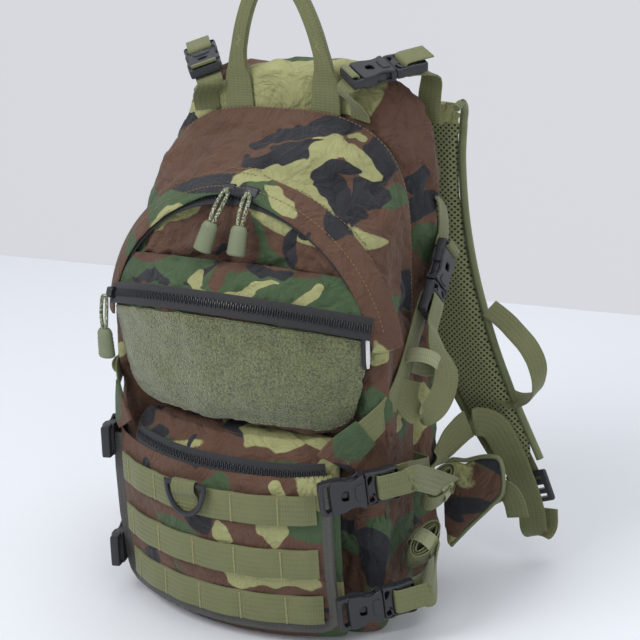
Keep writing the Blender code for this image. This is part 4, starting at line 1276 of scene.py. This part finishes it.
def top_straps(side_name, sign):
    """The straps on both sides of the top buckle."""
    placing = buckle_frame(*mirrored_all(TOP_BUCKLE, sign), mirrored(TOP_OUTWARD, sign))
    over = placing.col[1].to_3d() * sign
    seam = mirrored_all(((70, 27.6, 398), (70, 26.0, 404), (68, 22.2, 411)), sign)
    seam.append(frame_point(placing, -36, -6.0))
    flat = mirrored((0.91, -0.28, -0.28), sign)
    front = seam + sewn_loop(placing)[1:]
    sides = [flat, flat, flat * 0.7 - over * 0.3, flat * 0.2 - over * 0.8] + [-over] * 6
    webbing("top_tab_" + side_name, front, sides, 21.0, 1.8, "root", "top_strap_front_" + side_name)
    yoke = mirrored_all(((103, 79, 388), (103.5, 80, 410), (105, 81.5, 421), (106, 79, 429)), sign)
    level = mirrored((1, 0, 0), sign)
    rear = yoke + threaded(placing)[1:]
    sides = [level, level, level * 0.8 - over * 0.2, level * 0.3 - over * 0.7] + [-over] * 7
    node = "top_strap_rear_" + side_name
    obj = webbing("top_strap_" + side_name, rear, sides, STRAP_WIDTH, 1.5, None, node)
    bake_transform(obj)


# A side strap's way up from the front, the way that its face looks there, and its slack tail.
SIDE_ROUTE = ((101, -78, 166), (113, -65, 178), (123.6, -46, 192), (124.6, -28, 202), (122.8, -8, 217))
SIDE_FACES = ((0.6, -0.8, 0.1), (0.75, -0.65, 0.1), (0.95, -0.3, 0), (1, -0.1, 0), (1, 0, 0), (1, 0, 0))
SIDE_TAIL = (
    (141, 9, 228), (152, 2, 210), (150, -10, 190), (140, -20, 182), (129, -22, 194),
    (127, -14, 208),
)


def side_straps(side_name, sign):
    """The compression strap up the pack's side, its slack tail and the cloth wing at its foot."""
    placing = buckle_frame(*mirrored_all(SIDE_BUCKLE, sign), mirrored(SIDE_OUTWARD, sign))
    over = placing.col[1].to_3d()
    tab = mirrored_all(((113, 68, 334), (116.6, 70, 326), (118.4, 72, 314)), sign) + sewn_loop(placing)
    webbing("side_tab_" + side_name, tab, [over] * 10, 20.5, 1.7, "root", "side_strap_upper_" + side_name)
    lower = mirrored_all(SIDE_ROUTE, sign)
    through = threaded(placing)
    tail = mirrored_all(SIDE_TAIL, sign)
    first = vectors(smooth_path(lower + [through[0]], 4))
    faces = smooth_path(mirrored_all(SIDE_FACES, sign), 4)
    across = [a.cross(Vector(f)).normalized() for a, f in zip(tangents(first), faces)]
    across = [a if a.dot(over) > 0 else -a for a in across]
    last = vectors(smooth_path([through[-1], *tail], 5))[1:]
    line = first + through[1:] + last
    across += [over] * (len(through) - 1)
    slack = over * 0.55 + mirrored((0.7, 0.4, 0), sign) * (1 if over.y > 0 else -1)
    across += [over.lerp(slack, min(1.0, k / 9)).normalized() for k in range(len(last))]
    obj = webbing("side_strap_" + side_name, line, across, 21.5, 1.5, None, "side_strap_lower_" + side_name)
    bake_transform(obj)
    wing = ((97, -78.5, 158), (102, -76.5, 166), (109, -69.5, 174), (115.0, -62.5, 180.5))
    wing = mirrored_all(wing, sign)
    normals = mirrored_all(((0.6, -0.8, 0.1), (0.6, -0.8, 0.1), (0.7, -0.7, 0.1), (0.8, -0.6, 0.1)), sign)
    wing_across = [a.cross(f) for a, f in zip(tangents(vectors(wing)), normals)]
    ribbon(
        "side_wing_" + side_name,
        vectors(smooth_path(wing, 4)),
        vectors(smooth_path(wing_across, 4)),
        [float(w) for w in np.linspace(32, 25, 13)],
        3.2,
        camouflage("wing_" + side_name, (0.9, 0.2, 0.3 * sign), patches=WING_PATCHES),
        "root",
    )
    grip = mirrored((133, -1, 219), sign)
    slant = mirrored((-0.1, 0.72, 0.69), sign)
    out = mirrored((1, 0.1, 0), sign)
    keeper("side_keeper_" + side_name, grip, slant, out, 12.5, 13, 12, "side_plug_" + side_name)


def keeper(name, middle, axis, out, long, short, width, body):
    """An elastic band round a rolled strap tail: an oval hoop about an axis."""
    axis = axis.normalized()
    out = (out - axis * out.dot(axis)).normalized()
    other = axis.cross(out)
    line = []
    for k in range(29):
        angle = 2 * math.pi * k / 28
        line.append(middle + other * (math.cos(angle) * long) + out * (math.sin(angle) * short))
    ribbon(name, line, [axis] * len(line), width, 1.3, ELASTIC, body)


def flap_straps(name, side_name, sign, spots):
    """A flap buckle's strap, drawn out of the pack's side, with its rolled tail and keeper."""
    start, end, seam, roll = mirrored_all(spots[side_name], sign)
    placing = buckle_frame(start, end, mirrored(FLAP_OUTWARD[side_name], sign))
    upright = placing.col[1].to_3d()
    axis = mirrored((0.42, -0.42, 0.80), sign).normalized()
    long = (Y_AXIS - axis * axis.y + Z_AXIS * 0.1).normalized()
    thick = axis.cross(long).normalized()
    if thick.x * sign > 0:
        thick = -thick
    turns, steps, rise = 2.8, 64, 2.45
    spiral = []
    for k in range(steps + 1):
        angle = 2 * math.pi * turns * k / steps
        grow = rise * angle / (2 * math.pi)
        place = thick * ((2.6 + grow) * math.sin(angle)) + long * ((12.5 + grow) * math.cos(angle))
        spiral.append(roll + place + axis * (0.9 * math.sin(angle * 0.5 + 1)))
    spiral.reverse()
    through = threaded(placing)
    middle = (through[0] + seam) / 2 + mirrored((3, 0, 0), sign)
    hidden = seam + mirrored((-26, 6, 0), sign)
    line = vectors(smooth_path([hidden, seam, middle, through[0]], 5)) + through[1:]
    line += vectors(smooth_path([through[-1], frame_point(placing, 46, 9.0), spiral[0]], 5))[1:]
    across = [upright] * (len(line) - 4) + [upright.lerp(axis, part) for part in (0.2, 0.45, 0.7, 0.9)]
    line += spiral[1:]
    across += [axis] * (len(line) - len(across))
    body = f"{name}_plug_{side_name}"
    node = f"{name}_strap_{side_name}"
    webbing(f"{name}_webbing_{side_name}", line, across, STRAP_WIDTH, 1.4, body, node, 1)
    keeper(f"{name}_keeper_{side_name}", roll, long, thick, 12.0, 11.2, 13.0, body)


def handle():
    """The carry handle: two flat legs folded narrow into an arch."""
    right = [
        (39, 28.0, 400), (39.3, 28.0, 408), (39.5, 28.0, 424), (39.0, 27.5, 436), (37.0, 27.0, 449),
        (31, 26, 470), (22, 25, 490), (11, 24.5, 503), (0, 24.5, 507),
    ]
    widths = [26.0, 26.0, 24.0, 16.5, 12.5, 11.5, 11.0, 11.0, 11.0]
    thicks = [1.8, 1.9, 2.1, 4.6, 6.2, 6.8, 7.0, 7.0, 7.0]
    points = right + [(-x, y, z) for x, y, z in right[-2::-1]]
    line = vectors(smooth_path(points, 8))
    count = len(points) - 1
    marks = np.linspace(0, count, len(line))
    wide = np.interp(marks, range(count + 1), widths + widths[-2::-1])
    deep = np.interp(marks, range(count + 1), thicks + thicks[-2::-1])
    across = [a.cross(Y_AXIS).normalized() for a in tangents(line)]
    webbing("handle_loop", line, across, list(wide), list(deep), "handle", "carry_handle", 0)
    frames = []
    for sign in (-1, 1):
        for k in range(12):
            z = 452 + k * 2.6
            x = float(np.interp(z, (446, 470, 490), (38, 31, 22))) * sign
            y = float(np.interp(z, (446, 470), (27, 26)))
            tilt = Vector((2.2 if k % 2 else -2.2, 0, 2.6))
            frames.append((Vector((x, y - 2.9, z)), tilt, -Y_AXIS))
    blocks("handle_zigzag", frames, (4.6, 0.7, 0.6), THREAD_OLIVE, "handle")


def d_ring_piece():
    """The D-ring's folded webbing tab."""
    low, high = (Vector(c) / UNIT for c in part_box("d_ring_tab"))
    ring_high = Vector(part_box("d_ring")[1]) / UNIT
    x = (low.x + high.x) / 2
    bar = Vector((x, ring_high.y - 2.2, 134.0))
    back = high.y - 0.6
    gap = 2.9
    loop = [
        Vector((x, back - 0.4, 109.0)),
        Vector((x, back - 0.4, 126.0)),
        bar + Vector((0, gap + 0.8, -1.0)),
        bar + Vector((0, gap * 0.75, gap * 0.9)),
        bar + Vector((0, -gap * 0.6, gap)),
        bar + Vector((0, -gap - 0.6, -1.0)),
        bar + Vector((0, -gap + 0.3, -5.5)),
        Vector((x, back - 2.7, 122.0)),
        Vector((x, back - 2.7, 109.0)),
    ]
    line = smooth_path(loop, 5)
    webbing("d_ring_webbing", line, [X_AXIS] * len(line), 21.0, 1.4, "flap", "d_ring_tab", 0)
    frames = []
    for dz in (111.0, 114.5, 118.0):
        for k in range(7):
            frames.append((Vector((x - 8 + k * 2.7, back - 3.6, dz)), X_AXIS, -Y_AXIS))
    blocks("d_ring_tacks", frames, (2.2, 0.7, 0.6), THREAD_OLIVE, "flap")


# ---------------------------------------------------------------- harness


SHOULDER_ROUTE = (
    (97, 88, 398), (97, 99, 401), (91, 108, 386), (87, 112, 345), (91, 115, 285), (105, 118, 220),
    (129, 121, 155), (164, 124, 88),
)
SHOULDER_WIDTHS = (50.0, 54.0, 60.0, 62.0, 62.0, 60.0, 54.0, 42.0)
SHOULDER_THICKS = (5.0, 5.0, 8.0, 12.0, 12.0, 12.0, 11.0, 6.0)


def shoulder_pad(side_name, sign):
    """A padded shoulder strap: spacer mesh towards the wearer, camouflage outside, bound edges."""
    steps = 6
    body = "shoulder_" + side_name
    line = vectors(smooth_path(mirrored_all(SHOULDER_ROUTE, sign), steps))
    marks = np.linspace(0, len(SHOULDER_ROUTE) - 1, len(line))
    widths = np.interp(marks, range(len(SHOULDER_ROUTE)), SHOULDER_WIDTHS)
    thicks = np.interp(marks, range(len(SHOULDER_ROUTE)), SHOULDER_THICKS)
    rings, edges = [], ([], [])
    ahead = tangents(line)
    for i, middle in enumerate(line):
        side = (X_AXIS - ahead[i] * ahead[i].x).normalized()
        out = ahead[i].cross(side)
        ring = []
        for k in range(28):
            angle = 2 * math.pi * k / 28
            u = math.copysign(abs(math.cos(angle)) ** 0.55, math.cos(angle))
            w = math.copysign(abs(math.sin(angle)) ** 0.8, math.sin(angle))
            ring.append(middle + side * (u * (widths[i] / 2 - 1.5)) + out * (w * (thicks[i] / 2 - 0.8)))
        rings.append(ring)
        for edge, flip in zip(edges, (-1, 1)):
            edge.append(middle + side * flip * (widths[i] / 2 - 1.2))
    pad = loft("shoulder_pad_" + side_name, rings)
    inflated(pad, 4.5, 2.2, 1.6)
    pad.data.materials.append(MESH)
    pad.data.materials.append(camouflage("shoulder_" + side_name, (0.2, 0.3 * sign, 0.4), dark=0.95))
    for face in pad.data.polygons:
        face.material_index = int(face.normal.y > 0.25 or face.center.z / UNIT > 383)
    finish_piece(pad, MESH, body, ["shoulder_strap_" + side_name], 60)
    for number, edge in enumerate(edges):
        trim = f"shoulder_binding_{side_name}_{'ab'[number]}"
        tube(trim, edge[2:], 3.3, TRIM, body, count=10, hint=Y_AXIS)
    tail = mirrored_all(((153, 126, 108), (161, 126, 93), (168, 125.6, 80), (172, 124, 73)), sign)
    across = [mirrored((0.9, 0.0, 0.45), sign)] * len(tail)
    webbing("shoulder_end_tab_" + side_name, tail, across, 26.0, 1.5, body)


def chest_strap(side_name, sign):
    """The slack chest strap that hangs behind a shoulder pad."""
    route = [(136, 121, 226), (154, 121, 214), (174, 116, 197), (184, 114, 178)]
    route += [(179, 117, 160), (163, 121, 148), (146, 122, 152)]
    line = smooth_path(mirrored_all(route, sign), 5)
    across = [mirrored((0.3, 0.85, 0.45), sign)] * len(line)
    body = "shoulder_" + side_name
    ribbon("chest_strap_" + side_name, line, across, 19.0, 1.4, WEBBING, body, wave=2.0)


def lower_webbing(side_name, sign):
    """The webbing from the pack's side up through the ladder lock."""
    arch = [
        (108, 50, 100), (117.2, 60, 109), (118.5, 66, 116), (123, 80, 125), (132, 95, 133),
        (146, 107, 127), (157, 112, 106), (166, 115.5, 84), (171, 118.7, 67), (176, 119.5, 48),
        (178, 118.5, 34), (181, 122, 27), (184, 128, 34), (183, 130.5, 49),
    ]
    level = (0.97, 0.0, 0.24)
    across = [
        (0.1, 0.97, 0.0), (0.1, 0.97, 0.0), (0.2, 0.95, -0.1), (0.45, 0.8, -0.2), (0.6, 0.7, 0.1),
        (0.75, 0.5, 0.3), (0.9, 0.3, 0.3),
        *[level] * 7,
    ]
    line = smooth_path(mirrored_all(arch, sign), 5)
    sides = smooth_path(mirrored_all(across, sign), 5)
    node = "lower_webbing_" + side_name
    obj = webbing("lower_strap_" + side_name, line, sides, WEBBING_WIDTH, 1.6, None, node, 0)
    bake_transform(obj)


def hip_wing(side_name, sign):
    """A padded wing of the hip belt, with a bound edge and a strap at its end."""
    outline = [(116.5, 20), (116.5, 97), (137, 108), (156, 115), (167, 112), (169, 86), (158, 70), (139, 48)]
    body = "hip_" + side_name
    rim = vectors(smooth_path([(x, 0, z) for x, z in outline] + [(116.5, 0, 20)], 5))[:-1]
    centre = Vector((142.0, 0, 80.0))
    rings = []
    profile = [(70.4, 0.10), (70.0, 0.03), (71.6, 0.0), (73.5, -0.005)]
    profile += [(75.4, 0.0), (77.0, 0.03), (76.6, 0.10)]

    def drawn_in(p, y, inset):
        return mirrored((p.x + (centre.x - p.x) * inset, y, p.z + (centre.z - p.z) * inset), sign)

    for y, inset in profile:
        rings.append([drawn_in(p, y, inset) for p in rim])
    pad = loft("hip_pad_" + side_name, rings)
    inflated(pad, 4.0, 3.0, 2.6, pinned=lambda p: abs(p.x) < 119)
    camouflaged(pad, "hip_" + side_name, (0.4, 0.1, 0.8 * sign), node="hip_wing_" + side_name, body=body)
    edge = [drawn_in(p, 73.5, 0.01) for p in rim[5:]]
    tube(f"hip_binding_{side_name}", edge, 2.0, TRIM, body, hint=Y_AXIS)
    strap_line = ((132, 80.2, 62), (150, 80.6, 74), (166, 80.2, 86), (176, 79.4, 78), (180, 79, 62))
    strap_line = mirrored_all(strap_line, sign)
    across = [mirrored((-0.45, 0, 0.9), sign)] * 3 + [mirrored((0.8, 0, 0.5), sign)] * 2
    webbing("hip_strap_" + side_name, strap_line, across, STRAP_WIDTH, 1.5, body)


def back_panel():
    """The padded back panel of spacer mesh with sewn channels."""
    rings = []
    half, low, high, corner = 100.0, 30.0, 392.0, 30.0
    for y, inset in ((76.6, 2.5), (78.5, 0.3), (81.0, 0.0), (83.0, 1.0), (84.0, 4.0)):
        ring = []
        for cx, cz, start in ((1, 1, 0), (-1, 1, 90), (-1, -1, 180), (1, -1, 270)):
            for k in range(9):
                angle = math.radians(start + 90 * k / 8)
                x = cx * (half - corner) + (corner - inset) * math.cos(angle)
                z = (high if cz > 0 else low) - cz * corner + (corner - inset) * math.sin(angle)
                ring.append(Vector((x, y, z)))
        rings.append(ring)
    pad = loft("back_padding", rings)
    inflated(pad, 5.0, 2.5, 3.0, pinned=lambda p: p.y < 78)

    def channels(p, n):
        if n.y < 0.3:
            return p
        depth = 0.0
        for z in (110, 190, 270, 340):
            depth += 2.6 * math.exp(-(((p.z - z) / 3.2) ** 2))
        depth += 2.6 * math.exp(-((p.x / 3.2) ** 2))
        return p - Vector((0, min(depth, 3.2), 0))

    moved(pad, channels)
    finish_piece(pad, MESH, "root", ["back_pad"], 60)


# ---------------------------------------------------------------- buckles


def plate(outline, holes, low, high, bevel=0.7):
    """A moulded plate as (points, faces): a rounded outline with holes, from height low to high."""
    curve = bpy.data.curves.new("plate", "CURVE")
    curve.dimensions = "2D"
    curve.fill_mode = "BOTH"
    curve.extrude = (high - low) / 2 - bevel
    curve.bevel_depth = bevel
    curve.bevel_resolution = 2
    curve.offset = -bevel
    for line in (outline, *holes):
        spline = curve.splines.new("POLY")
        spline.points.add(len(line) - 1)
        for point, (x, y) in zip(spline.points, line):
            point.co = (x, y, 0, 1)
        spline.use_cyclic_u = True
    helper = linked("plate", curve)
    graph = bpy.context.evaluated_depsgraph_get()
    mesh = bpy.data.meshes.new_from_object(helper.evaluated_get(graph))
    points = [Vector((v.co.x, v.co.y, v.co.z + (high + low) / 2)) for v in mesh.vertices]
    faces = [tuple(face.vertices) for face in mesh.polygons]
    bpy.data.objects.remove(helper)
    bpy.data.curves.remove(curve)
    bpy.data.meshes.remove(mesh)
    return points, faces


def rounded_loop(corners, times=2):
    """A closed outline with its corners cut."""
    line = [np.array(c, float) for c in corners]
    for _ in range(times):
        cut = []
        for a, b in zip(line, line[1:] + line[:1]):
            cut += [0.8 * a + 0.2 * b, 0.2 * a + 0.8 * b]
        line = cut
    return [tuple(p) for p in line]


def both_sides(half):
    """An outline that is even about the long axis, from its upper half."""
    return half + [(x, -y) for x, y in half[::-1]]


def box_loop(x0, x1, half):
    return [(x0, -half), (x0, half), (x1, half), (x1, -half)]


# A buckle's outlines, as (along, half width).
SOCKET_PLATE = both_sides(
    [(-24, 13.4), (-19, 13.6), (-14, 13.2), (-10, 11.6), (-6, 10.9), (-2, 11.6), (1, 13.4), (4, 13.8)]
)
SOCKET_END = both_sides([(-32, 12.6), (-30, 13.4), (-21, 13.8), (-19, 12.6)])
PLUG_BASE = both_sides(
    [(4.6, 12.6), (6, 13.6), (10, 13.8), (14, 13.0), (22, 13.0), (26, 13.8), (30, 13.6), (32, 12.2)]
)
SOCKET_WALLS = (
    ((-21, 11.2), (-21, 13.4), (-12, 12.8), (-11, 11.2)),
    ((0, 11.2), (0.4, 13.0), (4, 13.6), (4, 11.2)),
)
PLUG_WINDOW = ((6.4, 3.2), (6.4, 10.6), (10.8, 10.4), (9.2, 6.0))
PLUG_ARM = (
    (5.6, 7.0), (-4, 7.4), (-9, 7.0), (-13.6, 8.0), (-14, 10.2), (-10, 11.4), (-5, 11.7),
    (-2, 10.4), (5.6, 10.4),
)
# Which body each pair's sockets are on.
SOCKET_BODIES = {"top": "root", "side": "root", "flap_upper": "flap", "flap_lower": "flap"}


def buckle(name, side_name, sign, spots, outward):
    """A side-release buckle: a waisted socket that shows the plug's arms, and a plug with two windows."""
    placing = buckle_frame(*mirrored_all(spots[:2], sign), mirrored(outward, sign))
    window = rounded_loop([(-15.5, -3.4), (-15.5, 3.4), (-9.5, 4.4), (-9.5, -4.4)], 3)
    ridge = rounded_loop(both_sides([(-4.6, 5.6), (-1.0, 7.0), (2.6, 7.2)]))
    socket = [
        plate(rounded_loop(SOCKET_END), [rounded_loop(box_loop(-28.6, -23.4, 10.6))], 1.2, 8.6, 1.2),
        plate(rounded_loop(SOCKET_PLATE), [window], 7.7, 10.0, 0.8),
        plate(rounded_loop(SOCKET_PLATE), [], 0.0, 2.2, 0.8),
        plate(ridge, [], 9.3, 10.9, 0.7),
    ]
    for flip in (-1, 1):
        for wall in SOCKET_WALLS:
            socket.append(plate([(x, y * flip) for x, y in wall], [], 1.6, 8.4, 0.4))
    windows = [rounded_loop([(x, y * flip) for x, y in PLUG_WINDOW]) for flip in (-1, 1)]
    slots = [rounded_loop(box_loop(12.2, 16.4, 10.6)), rounded_loop(box_loop(22.2, 26.2, 10.6))]
    plug = [plate(rounded_loop(PLUG_BASE), windows + slots, 1.0, 9.0, 1.3)]
    plug.append(plate(rounded_loop(both_sides([(-16, 1.8), (-12, 2.8), (5.4, 2.8)])), [], 2.6, 7.4, 0.6))
    for flip in (-1, 1):
        plug.append(plate(rounded_loop([(x, y * flip) for x, y in PLUG_ARM]), [], 2.3, 7.7, 0.7))
    for part, pieces in (("socket", socket), ("plug", plug)):
        points, faces = [], []
        for piece_points, piece_faces in pieces:
            base = len(points)
            points += [placing @ p for p in piece_points]
            faces += [tuple(i + base for i in face) for face in piece_faces]
        node = f"{name}_buckle_{part}_{side_name}"
        body = f"{name}_plug_{side_name}" if part == "plug" else SOCKET_BODIES[name]
        obj = plain_mesh(node + "_moulding", points, faces)
        finish_piece(obj, PLASTIC, body, [node], 40)


# ---------------------------------------------------------------- assembly


def bevelled(node_name, width, material, segments=2):
    """A kept CAD node, with its edges softened and a better material."""
    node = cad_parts[node_name]
    if width:
        modifier = node.modifiers.new("soft_edges", "BEVEL")
        modifier.width = width * UNIT
        modifier.segments = segments
        modifier.limit_method = "ANGLE"
        modifier.angle_limit = math.radians(35)
    for slot in node.material_slots:
        slot.material = material


def hard_parts():
    """Softer edges and better materials for the CAD nodes that stay as they are."""
    for side_name, _ in SIDES:
        bevelled("ladder_lock_" + side_name, 0.5, PLASTIC)
        bevelled("main_slider_" + side_name, 0.5, METAL)
    bevelled("pocket_slider", 0.5, METAL)
    bevelled("d_ring", 0.0, PLASTIC)
    bevelled("reservoir_cap", 0.6, CAP)
    bevelled("hydration_reservoir", 2.0, FILM, 3)


def seams(main, cover):
    """Frames of the dome's stitch rows."""
    root_frames = []
    dome = Surface(main)
    for slide in (-13.5, -17.5):
        line = [arch_point(76 * (2 * k / 60 - 1), 2.0, slide)[0] for k in range(61)]
        root_frames += stitch_frames(dome, line)
    cover_line = [arch_point(78 * (2 * k / 60 - 1), 6.0, 1.0)[0] for k in range(61)]
    root_frames += stitch_frames(cover, cover_line)
    seam = squared_arch(25.0, 111.5, 298.0, 403.0, 3.05)
    top = [p for p in seam if p.z > 60]
    top.sort(key=lambda p: math.atan2(p.z - 200, -p.x))
    root_frames += stitch_frames(dome, top)
    return root_frames


def stage():
    """The table, the wall far behind it, the lights and the camera."""
    scene = bpy.context.scene
    n = Nodes("studio_floor", 0.6)
    n.colour(linear(236, 239, 245))
    metre = 1 / UNIT
    edge = [Vector((x * metre, y * metre, 0)) for x, y in TABLE_EDGE]
    front = [p - Y_AXIS * TABLE_DEPTH * metre for p in edge]
    drop = [p - Z_AXIS * TABLE_DROP * metre for p in edge]
    floor = mesh_object("studio_floor", front + edge + drop, [(0, 1, 3, 2), (2, 3, 5, 4)])
    floor.data.materials.append(n.material)
    wall_paint = Nodes("studio_wall", 0.9)
    wall_paint.colour(linear(120, 120, 122))
    wall_paint.put(WALL_GLOW, wall_paint.shader.inputs["Emission Color"])
    wall_paint.put(WALL_GLOW_STRENGTH, wall_paint.shader.inputs["Emission Strength"])
    far, wide, high, low = 3.6 * metre, 6.0 * metre, 4.5 * metre, -2.5 * metre
    wall_corners = [Vector((x, far, z)) for x, z in ((-wide, low), (wide, low), (wide, high), (-wide, high))]
    wall = mesh_object("studio_wall", wall_corners, [(0, 1, 2, 3)])
    wall.data.materials.append(wall_paint.material)

    world = bpy.data.worlds.new("studio")
    world.use_nodes = True
    sky = world.node_tree.nodes["Background"].inputs
    sky["Color"].default_value, sky["Strength"].default_value = SKY_COLOUR, SKY_STRENGTH
    scene.world = world
    for name, place, width, power in LIGHTS:
        light = bpy.data.lights.new(name, "AREA")
        light.energy = power
        light.size = width
        lamp = linked(name, light)
        lamp.location = place
        lamp.rotation_euler = (LIGHTS_AIM - Vector(place)).to_track_quat("-Z", "Y").to_euler()

    azimuth, pitch, roll = (math.radians(a) for a in (CAMERA_AZIMUTH, CAMERA_PITCH, CAMERA_ROLL))
    ahead = -Vector(
        (math.sin(azimuth) * math.cos(pitch), -math.cos(azimuth) * math.cos(pitch), math.sin(pitch))
    )
    right = ahead.cross(Z_AXIS).normalized()
    up = right.cross(ahead)
    turned_right = right * math.cos(roll) + up * math.sin(roll)
    turned_up = -right * math.sin(roll) + up * math.cos(roll)
    data = bpy.data.cameras.new("camera")
    data.lens = CAMERA_LENS
    data.sensor_width = 36.0
    camera = linked("camera", data)
    matrix = Matrix((turned_right, turned_up, -ahead)).transposed().to_4x4()
    matrix.translation = Vector(CAMERA_PLACE)
    camera.matrix_world = matrix
    scene.camera = camera
    scene.view_settings.view_transform = "Standard"


def build():
    stage()
    hard_parts()
    main = main_bag()
    sleeve_bag()
    pocket = front_pocket_bag()
    lower_pocket_bag()
    flap_panel()
    cover = main_zip()
    pocket_skin = Surface(pocket)
    pile_edge = pile_panel(pocket_skin)
    pocket_zip()
    lower_zip()
    rows = [webbing_row("row_" + name, z, "flap_webbing_" + name) for name, z in ROW_HEIGHTS]
    tack_frames = []
    row_skin = Surface(*rows)
    for _, z in ROW_HEIGHTS:
        for ends in tack_rows(z):
            tack_frames += stitch_frames(row_skin, ends, 1.5, 0.3)
    blocks("row_tacks", tack_frames, (1.3, 1.6, 0.7), THREAD_OLIVE, "flap")
    root_frames = seams(main, cover)
    blocks("seam_stitches", root_frames, (2.4, 0.6, 0.6), THREAD, "root")
    field = Surface(bpy.data.objects["hook_loop_field"])
    pile_frames = stitch_frames(field, pile_edge, 3.4, 0.2)
    blocks("pile_stitches", pile_frames, (2.3, 0.6, 0.5), THREAD_OLIVE, "root")
    handle()
    d_ring_piece()
    for side_name, sign in SIDES:
        main_pull(side_name, sign)
        top_straps(side_name, sign)
        side_straps(side_name, sign)
        buckle("top", side_name, sign, TOP_BUCKLE, TOP_OUTWARD)
        buckle("side", side_name, sign, SIDE_BUCKLE, SIDE_OUTWARD)
        for name, spots in FLAP_BUCKLES:
            buckle(name, side_name, sign, spots[side_name], FLAP_OUTWARD[side_name])
        for name, spots in FLAP_BUCKLES:
            flap_straps(name, side_name, sign, spots)
        shoulder_pad(side_name, sign)
        lower_webbing(side_name, sign)
        chest_strap(side_name, sign)
        hip_wing(side_name, sign)
    low, high = (Vector(c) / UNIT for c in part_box("pocket_pull"))
    middle_x = (low.x + high.x) / 2
    cord_and_grip(
        "pocket_pull",
        Vector((middle_x + 0.5, (low.y + high.y) / 2 + 1, high.z + 1)),
        Vector((middle_x - 0.5, (low.y + high.y) / 2, low.z + 2)),
        Vector((-0.5, -1, 0)),
    )
    back_panel()
    for name, place, size, material in (
        ("side_tag_back", (114.6, -58.0, 243), (27, 7.5, 1.6), TAG_DARK),
        ("side_tag_front", (115.8, -57.4, 243), (26, 4.0, 1.6), TAG_PALE),
    ):
        tag = [(Vector(place), Z_AXIS, Vector((0.8, -0.6, 0)))]
        blocks(name, tag, size, material, "root", 30)


build()
